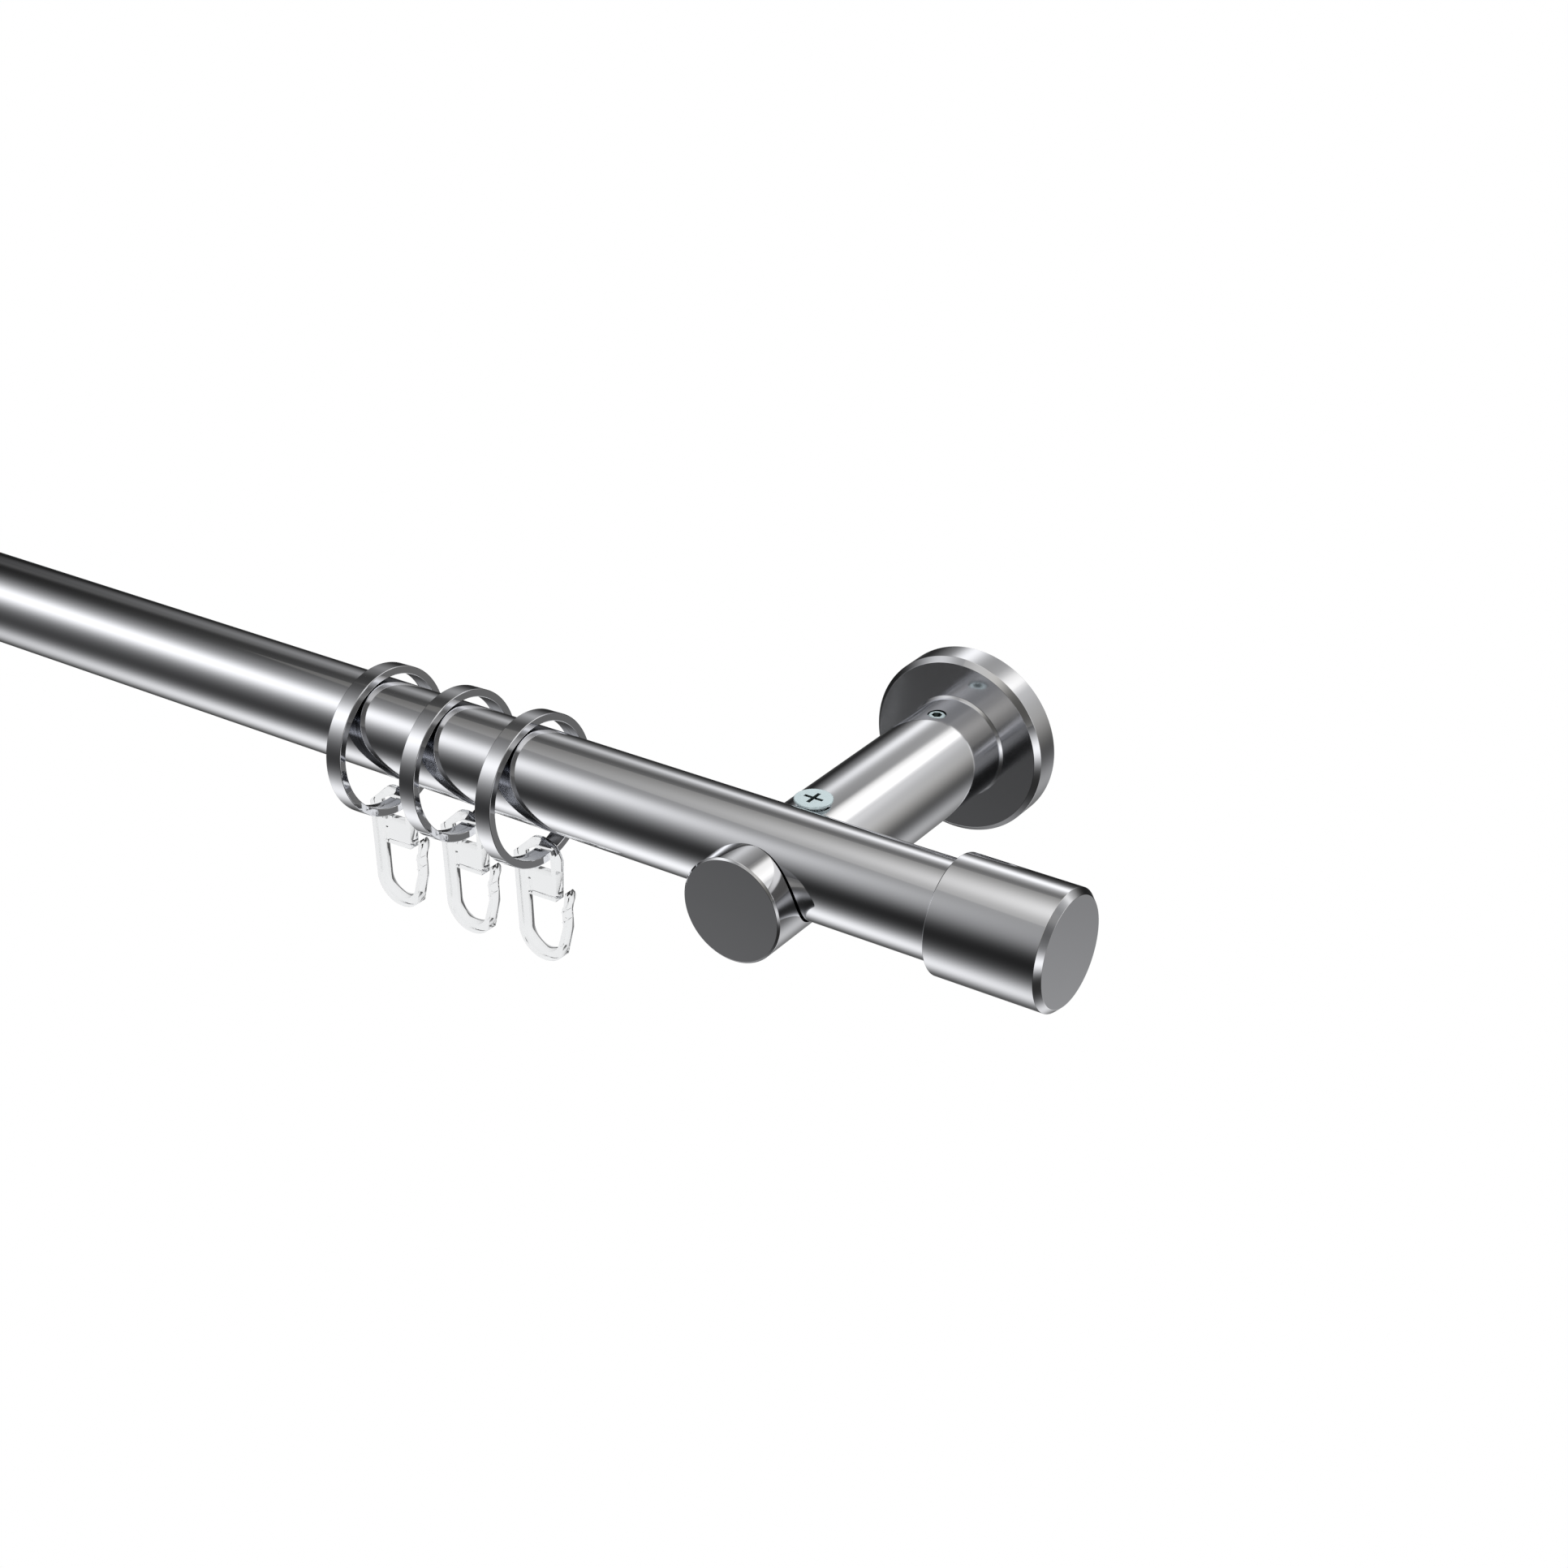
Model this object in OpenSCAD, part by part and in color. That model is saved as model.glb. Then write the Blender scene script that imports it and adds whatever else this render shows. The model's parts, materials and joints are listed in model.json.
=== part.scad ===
// Curtain rod, 20 mm system: a chromed tube on two wall brackets, with
// push-on end caps, flat-band rings and clear pleat hooks.
// Millimetres. +X runs along the rod, +Y points into the wall and +Z up.
// The origin lies on the wall, midway between the brackets, on the arms' axis.

/* [Rod] */
// Outer diameter of the tube
rod_d = 20; // [18:0.5:22]
// Length of the tube
rod_len = 1200; // [900:10:2400]
// Wall thickness of the tube
rod_wall = 1; // [0.8:0.1:1.5]

/* [Bracket] */
// Distance from a bracket's centre to the tube's end
rod_past = 60; // [40:1:150]
// Distance from the wall to the rod's axis
rod_out = 74.7; // [60:0.1:120]
// Height of the rod's axis over the arm's axis
rod_rise = 4.9; // [4.5:0.1:6]
// Diameter of the arm
arm_d = 22; // [21:0.5:26]
// Length of the arm in front of the rod's axis
nose_len = 15.7; // [14:0.1:20]
// Bevel round the arm's front face
arm_bevel = 0.4; // [0.2:0.1:1]
// Gap between the rod and the saddle it lies in
saddle_gap = 0.4; // [0.2:0.05:0.6]
// Flare round the arm's foot, where it stands on the rosette
arm_foot_flare = 0.5; // [0.2:0.1:1]

/* [Wall fixing] */
// Diameter of the rosette
rosette_d = 40; // [39:0.5:50]
// Thickness of the rosette
rosette_t = 6.8; // [6.5:0.1:10]
// Chamfer round the rosette's front
rosette_chamfer = 1.1; // [0.3:0.1:1.4]
// Thickness of the rosette's side wall
rosette_wall = 1.5; // [1.2:0.1:1.9]
// Thickness of the rosette's front wall
rosette_face = 1.5; // [1:0.1:2.2]
// Gap between the hidden wall plate and the rosette round it
plate_play = 1; // [0.5:0.1:1.5]
// Thickness of the hidden wall plate
plate_t = 3.2; // [3:0.1:4]
// Diameter of the wall screws' holes
wall_hole_d = 4.5; // [3.5:0.1:5]
// Diameter of a wall screw's countersunk head
wall_head_d = 8.2; // [7:0.1:8.4]
// Distance from a wall screw's head to the wall plate's rim
wall_head_edge = 0.9; // [0.5:0.1:1]
// Diameter of the spigot that the arm slides on
spigot_d = 16; // [14:0.1:16.4]
// Length of the spigot in front of the wall plate
spigot_len = 23; // [18:0.5:30]
// Diameter of the screw that holds the spigot to its plate
spigot_screw_d = 5; // [4:0.5:6]
// Length of the screw that holds the spigot to its plate
spigot_screw_len = 14; // [10:0.5:16]

/* [Screws] */
// Thread diameter of the screw that clamps the rod
clamp_d = 4; // [3:0.5:5]
// Head diameter of the screw that clamps the rod
clamp_head_d = 7.8; // [7.2:0.1:8.4]
// Length of the screw that clamps the rod
clamp_len = 12; // [9:0.5:14]
// Distance from the rod's surface back to the clamp screw's axis
clamp_off = 2.6; // [2.4:0.1:4]
// Height of the clamp screw's head over the top of the arm
clamp_proud = 0.8; // [0.3:0.1:1.2]
// Diameter of the grub screw that holds the arm on its spigot
grub_d = 4; // [3:0.5:5]
// Distance from the rosette's face to the grub screw's axis
grub_off = 8.5; // [6:0.1:13]
// Size across the flats of the grub screw's socket
grub_socket = 2; // [1.5:0.1:2.5]

/* [End caps] */
// Outer diameter of an end cap
cap_d = 24; // [22.6:0.1:30]
// Length of an end cap
cap_len = 24; // [20:0.5:40]
// Bevel round an end cap's face
cap_bevel = 1.15; // [0.3:0.05:1.5]
// Bevel round an end cap's open rim
cap_rim_bevel = 0.2; // [0.1:0.05:0.5]
// Thickness of an end cap's end wall
cap_face = 3; // [2:0.1:5]
// Length of the plug inside an end cap
plug_len = 15; // [10:0.5:17]

/* [Rings] */
// Inner diameter of a ring
ring_bore = 29.6; // [28:0.1:34]
// Thickness of a ring's band
ring_wall = 1.7; // [1:0.1:2.5]
// Width of a ring's band along the rod
ring_w = 4; // [3:0.1:5]
// Distance from the right bracket to the first ring
ring_first = 61.1; // [25:0.1:150]
// Distance from ring to ring
ring_pitch = 20.1; // [15:0.1:60]
// How far the rings have swung towards the wall, in degrees
ring_swing = 17.9; // [0:0.1:25]
// How far the rings lean, lower edge towards the bracket, in degrees
ring_lean = 1.7; // [0:0.1:2]

/* [Hooks] */
// Thickness of a hook across the rod
hook_t = 2.7; // [2:0.1:4]
// Length of a hook below its seat on the ring
hook_drop = 27; // [24:0.1:36]
// Width of a hook's leg
leg_t = 2.1; // [1.6:0.1:2.6]
// Radius of the inside of a hook's bend
bend_in_r = 4.4; // [3.8:0.1:4.8]
// Thickness of a hook's springy tongue
tongue_t = 0.85; // [0.7:0.05:1]
// Lean of the tongue's lower part, in degrees
tongue_lean = 16; // [14:0.5:18]
// Width of the block under a hook's eye
block_w = 7.6; // [7:0.1:7.8]
// Height of the block under a hook's eye
block_h = 5.85; // [4:0.05:7]
// Height of a hook's eye below its seat
eye_h = 5.9; // [5:0.1:8]
// Thickness of the arch over a hook's eye
arch_t = 2.7; // [2.5:0.1:3.6]
// Thickness of the arch's top edge across the rod
arch_edge = 1; // [0.8:0.1:1.4]
// Thickness of the arm that closes a hook's eye
eye_arm_t = 1.4; // [1.2:0.1:1.8]
// How far a hook sits from the ring's lowest point, towards the wall
hook_aside = 2.1; // [0:0.1:3]

/* [Hidden] */
$fn = 96;

// Colours
chrome = [0.72, 0.73, 0.75];
zinc = [0.83, 0.88, 0.9];
bare_steel = [0.55, 0.56, 0.58];
clear_plastic = [0.9, 0.93, 0.95, 0.6];
grey_plastic = [0.35, 0.36, 0.38];

// Clearances
slip = 0.1;
touch = 0.05;
ring_play = 0.15;
eye_play = 0.12;
cut = 1;

// Rod and end caps
rod_r = rod_d / 2;
rod_bore_r = rod_r - rod_wall;
rod_end = rod_len / 2;
rod_edge = 0.2;
cap_gap = 0.5;
cap_end = rod_end + cap_gap + cap_face;
cap_r = cap_d / 2;
plug_stud_r = 4;
plug_stud_len = 1.5;
plug_r = rod_bore_r - 0.7;
plug_lip_r = rod_bore_r - slip;
plug_lip_w = 1;
plug_lips = 3;
plug_wall = 1.8;
plug_floor = 3;

// Bracket
bracket_x = rod_end - rod_past;
arm_r = arm_d / 2;
arm_front = rod_out + nose_len;
arm_foot = rosette_t + touch;
saddle_r = rod_r + saddle_gap;
rosette_r = rosette_d / 2;
plate_r = rosette_r - rosette_wall - plate_play;
wall_hole_off = plate_r - wall_head_edge - wall_head_d / 2;
clamp_back = rod_r + clamp_off;
grub_out = rosette_t + grub_off;
spigot_r = spigot_d / 2;
spigot_end = plate_t + spigot_len;
spigot_edge = 0.5;
bore_end = spigot_end + 1;
grub_seat_depth = 1;
grub_seat_w = grub_d + 0.6;
grub_flush = 0.2;
grub_cup = 0.4;
socket_depth = 2;
spigot_head_r = spigot_screw_d * 0.9;
spigot_head_sink = 0.2;

// Clamp screw
clamp_r = clamp_d / 2;
clamp_head_r = clamp_head_d / 2;
clamp_rim = 0.5;
clamp_cone = clamp_head_r - clamp_r;
clamp_top = arm_r + clamp_proud;
clamp_tip = 0.5;
clamp_seat_gap = 0.4;
cross_len = 4.4;
cross_w = 0.8;
cross_depth = 1.4;

// Rings
ring_in_r = ring_bore / 2;
ring_out_r = ring_in_r + ring_wall;
ring_edge = 0.15;
ring_hang = ring_in_r - rod_r - ring_play;

// Hooks, in their own plane: x along the rod, y up from the seat
blend = 0.02;
lap = 0.3;
slope_foot = -2.9;
slope_run = (hook_t - arch_edge) / (arch_t - slope_foot);
seat_back = hook_aside + hook_t / 2 + slope_foot * slope_run;
seat_r = sqrt(pow(ring_in_r, 2) - pow(seat_back, 2)) - eye_play;
eye_half = ring_w / 2 + 0.2;
arm_x = eye_half + eye_arm_t;
arm_taper_top = -3;
block_right = arm_x - 0.7;
block_left = block_right - block_w;
block_foot = -eye_h - block_h;
slot_w = 0.95;
slot_top = block_foot + 2.8;
leg_in = block_left - slot_w;
leg_out = leg_in - leg_t;
shoulder = [leg_out, -2.4];
arch_r = 4;
arch_centre = [arm_x - arch_r, arch_t - arch_r];
bend_out_r = bend_in_r + leg_t;
bend_centre = [leg_in + bend_in_r, bend_out_r - hook_drop];
tongue_out = bend_centre[0] + bend_out_r;
tongue_in = tongue_out - tongue_t;
tongue_dir = [-sin(tongue_lean), -cos(tongue_lean)];
knee_out = [tongue_out, 8.8 - hook_drop];
knee_in = [tongue_in, 9.7 - hook_drop];
waist = 13.2 - hook_drop;
tip = 18 - hook_drop;
tooth_top = 13.3 - hook_drop;
tooth_pitch = 2.4;
tooth_depth = 0.3;
tooth_h = 0.45;

// Where a line from p touches the circle of radius r round c, on its left seen from p
function touch_point(p, c, r) =
    let (
        away = c - p,
        reach = norm(away),
        turn = atan2(away[1], away[0]) + asin(r / reach)
    )
    p + sqrt(reach * reach - r * r) * [cos(turn), sin(turn)];

// Local +Z points from the wall into the room
module out_of_wall() {
    rotate([90, 0, 0]) children();
}

// Local +Z points along the rod, on the rod's axis
module on_rod_axis() {
    translate([0, -rod_out, rod_rise]) rotate([0, 90, 0]) children();
}

// Shifts to the right bracket for side 1 and to the left one for side -1
module at_bracket(side) {
    translate([side * bracket_x, 0, 0]) children();
}

// Frame of a ring: its centre, with the ring's own swing and lean
module at_ring(index) {
    translate([
        bracket_x - ring_first - index * ring_pitch,
        -rod_out + ring_hang * sin(ring_swing),
        rod_rise - ring_hang * cos(ring_swing)
    ]) rotate([0, -ring_lean, 0]) children();
}

// Tube of the rod
module rod_tube() {
    color(chrome) on_rod_axis() translate([0, 0, -rod_end]) rotate_extrude()
        polygon([
            [rod_bore_r, 0],
            [rod_r - rod_edge, 0],
            [rod_r, rod_edge],
            [rod_r, rod_len - rod_edge],
            [rod_r - rod_edge, rod_len],
            [rod_bore_r, rod_len]
        ]);
}

// Arm: a round bar with a saddle for the rod and a blind bore at its wall end
module arm(side) {
    color(chrome) at_bracket(side) difference() {
        out_of_wall() rotate_extrude() polygon([
            [0, arm_foot],
            [arm_r + arm_foot_flare, arm_foot],
            [arm_r, arm_foot + arm_foot_flare],
            [arm_r, arm_front - arm_bevel],
            [arm_r - arm_bevel, arm_front],
            [0, arm_front]
        ]);
        out_of_wall() cylinder(r = spigot_r + slip, h = bore_end);
        on_rod_axis() cylinder(r = saddle_r, h = arm_d + 2 * cut, center = true);
        translate([0, -grub_out, 0]) cylinder(r = grub_d / 2, h = arm_r + cut);
        clamp_hole();
    }
}

// Threaded and countersunk hole for the clamp screw
module clamp_hole() {
    cone_top = clamp_top - clamp_rim - clamp_seat_gap;
    translate([0, clamp_back - rod_out, 0]) {
        translate([0, 0, clamp_top - clamp_len - cut])
            cylinder(r = clamp_r + touch, h = clamp_len + 2 * cut);
        translate([0, 0, cone_top - clamp_cone])
            cylinder(r1 = clamp_r + touch, r2 = clamp_head_r + touch, h = clamp_cone);
        translate([0, 0, cone_top])
            cylinder(r = clamp_head_r + touch, h = arm_r);
    }
}

// Countersunk cross-head screw whose cone clamps the rod into the saddle
module clamp_screw(side) {
    color(zinc) at_bracket(side) translate([0, clamp_back - rod_out, clamp_top]) difference() {
        rotate_extrude() polygon([
            [0, -clamp_len],
            [clamp_r - clamp_tip, -clamp_len],
            [clamp_r, clamp_tip - clamp_len],
            [clamp_r, -clamp_rim - clamp_cone],
            [clamp_head_r, -clamp_rim],
            [clamp_head_r, -0.1],
            [clamp_head_r - 0.15, 0],
            [0, 0]
        ]);
        for (turn = [0, 90])
            rotate([0, 0, turn]) translate([0, 0, -cross_depth / 2 + touch])
                cube([cross_len, cross_w, cross_depth], center = true);
    }
}

// Grub screw with a hexagon socket, seated in the spigot's groove
module grub_screw(side) {
    foot = spigot_r - grub_seat_depth + touch;
    top = arm_r - grub_flush;
    color(zinc) at_bracket(side) translate([0, -grub_out, 0]) difference() {
        rotate_extrude() polygon([
            [0, foot],
            [grub_d / 2 - grub_cup, foot],
            [grub_d / 2, foot + grub_cup],
            [grub_d / 2, top - grub_cup],
            [grub_d / 2 - grub_cup, top],
            [0, top]
        ]);
        translate([0, 0, top - socket_depth]) rotate([0, 0, 30])
            cylinder(r = grub_socket / 2 / cos(30), h = socket_depth + cut, $fn = 6);
    }
}

// Rosette: a shallow cup that hides the wall plate
module rosette(side) {
    color(chrome) at_bracket(side) out_of_wall() rotate_extrude() polygon([
        [rosette_r - rosette_wall, 0],
        [rosette_r, 0],
        [rosette_r, rosette_t - rosette_chamfer],
        [rosette_r - rosette_chamfer, rosette_t],
        [spigot_r + slip, rosette_t],
        [spigot_r + slip, rosette_t - rosette_face],
        [rosette_r - rosette_wall, rosette_t - rosette_face]
    ]);
}

// Wall plate, with two countersunk wall screw holes
module wall_plate(side) {
    hole_r = wall_hole_d / 2;
    sink = wall_head_d / 2 - hole_r;
    color(bare_steel) at_bracket(side) out_of_wall() difference() {
        cylinder(r = plate_r, h = plate_t);
        for (up = [-1, 1]) translate([0, up * wall_hole_off, 0]) {
            translate([0, 0, -cut]) cylinder(r = hole_r, h = plate_t + 2 * cut);
            translate([0, 0, plate_t - sink])
                cylinder(r1 = hole_r, r2 = wall_head_d / 2, h = sink);
        }
        spigot_screw_shape(touch);
    }
}

// Countersunk screw shape from the plate's back, grown all round by more
module spigot_screw_shape(more) {
    shank_r = spigot_screw_d / 2;
    cone = spigot_head_r - shank_r;
    translate([0, 0, spigot_head_sink - (more > 0 ? spigot_head_sink + cut : 0)])
        cylinder(r = spigot_head_r + more, h = more > 0 ? spigot_head_sink + cut : touch);
    translate([0, 0, spigot_head_sink])
        cylinder(r1 = spigot_head_r + more, r2 = shank_r + more, h = cone);
    cylinder(r = shank_r + more, h = spigot_screw_len + more);
}

// Spigot that carries the arm, with a groove for the grub screw
module spigot(side) {
    groove_r = spigot_r - grub_seat_depth;
    color(bare_steel) at_bracket(side) out_of_wall() difference() {
        rotate_extrude() polygon([
            [0, plate_t],
            [spigot_r, plate_t],
            [spigot_r, grub_out - grub_seat_w / 2],
            [groove_r, grub_out - grub_seat_w / 2],
            [groove_r, grub_out + grub_seat_w / 2],
            [spigot_r, grub_out + grub_seat_w / 2],
            [spigot_r, spigot_end - spigot_edge],
            [spigot_r - spigot_edge, spigot_end],
            [0, spigot_end]
        ]);
        cylinder(r = spigot_screw_d / 2 + touch, h = spigot_screw_len + cut);
    }
}

// Countersunk screw that holds the spigot to the wall plate from behind
module spigot_screw(side) {
    color(zinc) at_bracket(side) out_of_wall() difference() {
        spigot_screw_shape(0);
        translate([0, 0, -cut])
            cylinder(r = spigot_screw_d * 0.35, h = cut + 1.6, $fn = 6);
    }
}

// End cap: a blind sleeve over the tube's end
module end_cap(side) {
    color(chrome) mirror([side < 0 ? 1 : 0, 0, 0]) on_rod_axis() rotate_extrude() polygon([
        [rod_r + slip, cap_end - cap_len],
        [cap_r - cap_rim_bevel, cap_end - cap_len],
        [cap_r, cap_end - cap_len + cap_rim_bevel],
        [cap_r, cap_end - cap_bevel],
        [cap_r - cap_bevel, cap_end],
        [0, cap_end],
        [0, cap_end - cap_face + plug_stud_len + touch],
        [plug_stud_r, cap_end - cap_face + plug_stud_len + touch],
        [plug_stud_r, cap_end - cap_face],
        [rod_r + slip, cap_end - cap_face]
    ]);
}

// Plastic plug that centres an end cap in the tube, with soft lips
module cap_plug(side) {
    root = cap_end - cap_face - touch;
    lip_step = (plug_len - plug_lip_w) / plug_lips;
    color(grey_plastic) mirror([side < 0 ? 1 : 0, 0, 0]) on_rod_axis() difference() {
        union() {
            translate([0, 0, root - plug_len]) cylinder(r = plug_r, h = plug_len);
            translate([0, 0, root - touch])
                cylinder(r = plug_stud_r - touch, h = plug_stud_len + touch);
            for (lip = [1 : plug_lips])
                translate([0, 0, root - plug_len + (lip - 1) * lip_step + plug_lip_w])
                    cylinder(r = plug_lip_r, h = plug_lip_w);
        }
        translate([0, 0, root - plug_len - cut])
            cylinder(r = plug_r - plug_wall, h = plug_len - plug_floor + cut);
    }
}

// Ring: a flat band bent round and welded
module ring(index) {
    color(chrome) at_ring(index) rotate([0, 90, 0]) rotate_extrude() polygon([
        [ring_in_r, ring_edge - ring_w / 2],
        [ring_in_r + ring_edge, -ring_w / 2],
        [ring_out_r - ring_edge, -ring_w / 2],
        [ring_out_r, ring_edge - ring_w / 2],
        [ring_out_r, ring_w / 2 - ring_edge],
        [ring_out_r - ring_edge, ring_w / 2],
        [ring_in_r + ring_edge, ring_w / 2],
        [ring_in_r, ring_w / 2 - ring_edge]
    ]);
}

// Eye and block of a hook, with the slot beside its leg
module hook_head() {
    arch_start = touch_point(shoulder, arch_centre, arch_r - blend);
    difference() {
        union() {
            translate(arch_centre) circle(r = arch_r + blend);
            polygon([
                shoulder,
                arch_start,
                arch_centre,
                [arm_x, arch_centre[1]],
                [arm_x, arm_taper_top],
                [block_right, block_foot],
                [block_left, block_foot],
                [block_left, slot_top],
                [leg_out, slot_top]
            ]);
        }
        polygon([
            [leg_in, -eye_h],
            [leg_in, -eye_half],
            [-eye_half, 0],
            [eye_half, 0],
            [eye_half, -eye_h]
        ]);
    }
}

// What the slope on the wall side of a hook's head takes away
module head_slope() {
    back = hook_t / 2;
    rotate([0, 90, 0]) linear_extrude(height = 40, center = true) polygon([
        [back + cut, slope_foot - cut * slope_run],
        [back + cut, arch_t + cut],
        [arch_edge - back - cut * slope_run, arch_t + cut],
        [back, slope_foot]
    ]);
}

// Leg and round bend of a hook
module hook_bend() {
    joint = touch_point(knee_in, bend_centre, bend_in_r);
    joint_out = knee_out + tongue_dir * (knee_out[1] - joint[1]) / cos(tongue_lean);
    difference() {
        union() {
            translate([leg_out, bend_centre[1]])
                square([leg_t, slot_top - bend_centre[1] + lap]);
            translate(bend_centre) circle(r = bend_out_r + blend);
        }
        translate(bend_centre) circle(r = bend_in_r + blend);
        polygon([
            bend_centre,
            [leg_in, bend_centre[1]],
            [leg_in, bend_centre[1] + 2 * bend_out_r],
            [bend_centre[0] + 2 * bend_out_r, bend_centre[1] + 2 * bend_out_r],
            [bend_centre[0] + 2 * bend_out_r, joint[1]],
            [bend_centre[0], joint[1]]
        ]);
        polygon([
            joint_out - tongue_dir,
            joint_out + tongue_dir * bend_out_r,
            joint_out + tongue_dir * bend_out_r + [bend_out_r, 0],
            joint_out - tongue_dir + [bend_out_r, 0]
        ]);
    }
}

// Springy tongue of a hook, with its teeth and flared tip
module hook_tongue() {
    joint = touch_point(knee_in, bend_centre, bend_in_r);
    inward = (joint - knee_in) / norm(joint - knee_in);
    joint_out = knee_out + tongue_dir * (knee_out[1] - joint[1]) / cos(tongue_lean);
    polygon([
        joint + inward * 0.8,
        joint_out + tongue_dir * lap,
        knee_out,
        [tongue_out, waist],
        [tongue_out + 0.35, waist + 1.4],
        [tongue_out + 0.85, tip - 2],
        [tongue_out + 1.1, tip - 0.9],
        [tongue_out + 0.85, tip - 0.4],
        [tongue_out + 0.25, tip],
        [tongue_out - 0.3, tip - 3.1],
        [tongue_in, tip - 4.1],
        knee_in
    ]);
    for (row = [0, 1])
        polygon([
            [tongue_in + tongue_t / 2, tooth_top - row * tooth_pitch + tooth_h],
            [tongue_in - tooth_depth, tooth_top - row * tooth_pitch - tooth_h / 2],
            [tongue_in + tongue_t / 2, tooth_top - row * tooth_pitch - tooth_h]
        ]);
}

// Clear pleat hook, closed round the ring's band
module hook(index) {
    color(clear_plastic) at_ring(index) translate([0, hook_aside, -seat_r]) rotate([90, 0, 0]) {
        difference() {
            linear_extrude(height = hook_t, center = true) hook_head();
            head_slope();
        }
        linear_extrude(height = hook_t, center = true) hook_bend();
        linear_extrude(height = hook_t, center = true) hook_tongue();
    }
}

rod_tube();
arm(1);  // arm_right
arm(-1);  // arm_left
clamp_screw(1);  // clamp_screw_right
clamp_screw(-1);  // clamp_screw_left
grub_screw(1);  // grub_screw_right
grub_screw(-1);  // grub_screw_left
rosette(1);  // rosette_right
rosette(-1);  // rosette_left
wall_plate(1);  // wall_plate_right
wall_plate(-1);  // wall_plate_left
spigot(1);  // spigot_right
spigot(-1);  // spigot_left
spigot_screw(1);  // spigot_screw_right
spigot_screw(-1);  // spigot_screw_left
end_cap(1);  // end_cap_right
end_cap(-1);  // end_cap_left
cap_plug(1);  // cap_plug_right
cap_plug(-1);  // cap_plug_left
ring(0);  // ring_1
ring(1);  // ring_2
ring(2);  // ring_3
hook(0);  // hook_1
hook(1);  // hook_2
hook(2);  // hook_3
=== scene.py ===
"""Studio scene of a chromed curtain rod on two wall brackets.

The rod, its brackets, end caps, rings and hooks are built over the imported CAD
frame, one object for each separate piece, and lit by a studio drawn in the
world. The frame's axes are +X along the rod, +Y into the wall and +Z up. Sizes
are held in millimetres and meshes are in metres, except where a docstring says
otherwise.
"""

from __future__ import annotations

import json
import logging
import math
from dataclasses import dataclass, field, replace
from enum import Enum

import bmesh
import bpy
from mathutils import Matrix, Vector

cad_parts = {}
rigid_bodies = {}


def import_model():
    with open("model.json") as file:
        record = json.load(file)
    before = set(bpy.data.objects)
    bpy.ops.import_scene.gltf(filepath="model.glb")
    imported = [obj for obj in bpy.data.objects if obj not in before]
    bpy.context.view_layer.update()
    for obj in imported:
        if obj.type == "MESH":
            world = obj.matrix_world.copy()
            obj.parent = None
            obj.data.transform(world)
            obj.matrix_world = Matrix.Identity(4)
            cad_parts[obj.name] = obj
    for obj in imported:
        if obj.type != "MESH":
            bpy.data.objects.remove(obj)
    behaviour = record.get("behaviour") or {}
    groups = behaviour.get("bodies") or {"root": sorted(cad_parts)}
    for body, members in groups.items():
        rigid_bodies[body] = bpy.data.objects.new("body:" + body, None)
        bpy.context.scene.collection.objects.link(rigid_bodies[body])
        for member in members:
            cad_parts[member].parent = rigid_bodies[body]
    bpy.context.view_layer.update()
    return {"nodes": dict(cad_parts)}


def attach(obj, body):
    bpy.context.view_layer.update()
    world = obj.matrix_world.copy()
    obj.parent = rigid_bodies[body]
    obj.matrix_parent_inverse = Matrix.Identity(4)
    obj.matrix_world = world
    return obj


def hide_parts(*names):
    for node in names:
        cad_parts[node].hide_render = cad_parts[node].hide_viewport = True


LOG = logging.getLogger("curtain_rod")
MM = 0.001
# Lengths below this count as nothing, in millimetres
NOTHING = 1e-6
# How far off a true surface the corners of a cut face may lie, in millimetres
OFF_SURFACE = 0.004
# Cosine over which a face belongs to a true surface, and over which it faces one way
FACING, STRAIGHT = 0.5, 0.999
# How far a tool reaches past a through cut, and past the mouth of a recess
PAST_CUT, SPARE = 20, 1
# Where nearly all values of a noise texture lie, and where its low ones do
NOISE_RANGE, NOISE_LOWS = (0.3, 0.7), (0.25, 0.5)
# Numbers of a Mix node's colour sockets
MIX_A, MIX_B, MIX_RESULT = 6, 7, 2
WHITE = (1, 1, 1, 1)
# What full warmth adds to a light's red, green and blue
WARM = (0.05, 0.015, -0.065)


class Side(Enum):
    """The two ends of the rod."""

    RIGHT = 1
    LEFT = -1

    @property
    def word(self) -> str:
        """Name of the side in the CAD node names."""
        return self.name.lower()


class Axis(Enum):
    """Axis that a turned piece is round about, as matrix rows that turn +Z along it."""

    ROD = ((0, 0, 1), (0, 1, 0), (-1, 0, 0))
    WALL = ((1, 0, 0), (0, 0, -1), (0, 1, 0))
    UP = ((1, 0, 0), (0, 1, 0), (0, 0, 1))


# ---------------------------------------------------------------- finishes


def to_linear(hex_code: str) -> tuple[float, float, float, float]:
    """Turns an sRGB colour into Blender's linear one.

    Args:
        hex_code: The colour as six hexadecimal digits.

    Returns:
        The linear red, green and blue, and an alpha of 1.
    """
    values = [int(hex_code[i : i + 2], 16) / 255 for i in (0, 2, 4)]
    linear = [v / 12.92 if v <= 0.04045 else ((v + 0.055) / 1.055) ** 2.4 for v in values]
    return (*linear, 1.0)


def add_node(
    tree: bpy.types.NodeTree,
    kind: str,
    place: tuple[float, float],
    inputs: dict[str | int, object] | None = None,
    **settings: object,
) -> bpy.types.Node:
    """Adds a node with its settings and links.

    Args:
        tree: The node tree that gets the node.
        kind: Blender's name of the node type.
        place: Where the node lies in the editor.
        inputs: What a named or numbered input gets: a value, or the socket that feeds it.
        **settings: The node's own properties.

    Returns:
        The new node.
    """
    node = tree.nodes.new(kind)
    node.location = place
    for name, value in settings.items():
        setattr(node, name, value)
    for key, value in (inputs or {}).items():
        if isinstance(value, bpy.types.NodeSocket):
            tree.links.new(value, node.inputs[key])
        else:
            node.inputs[key].default_value = value
    return node


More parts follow.
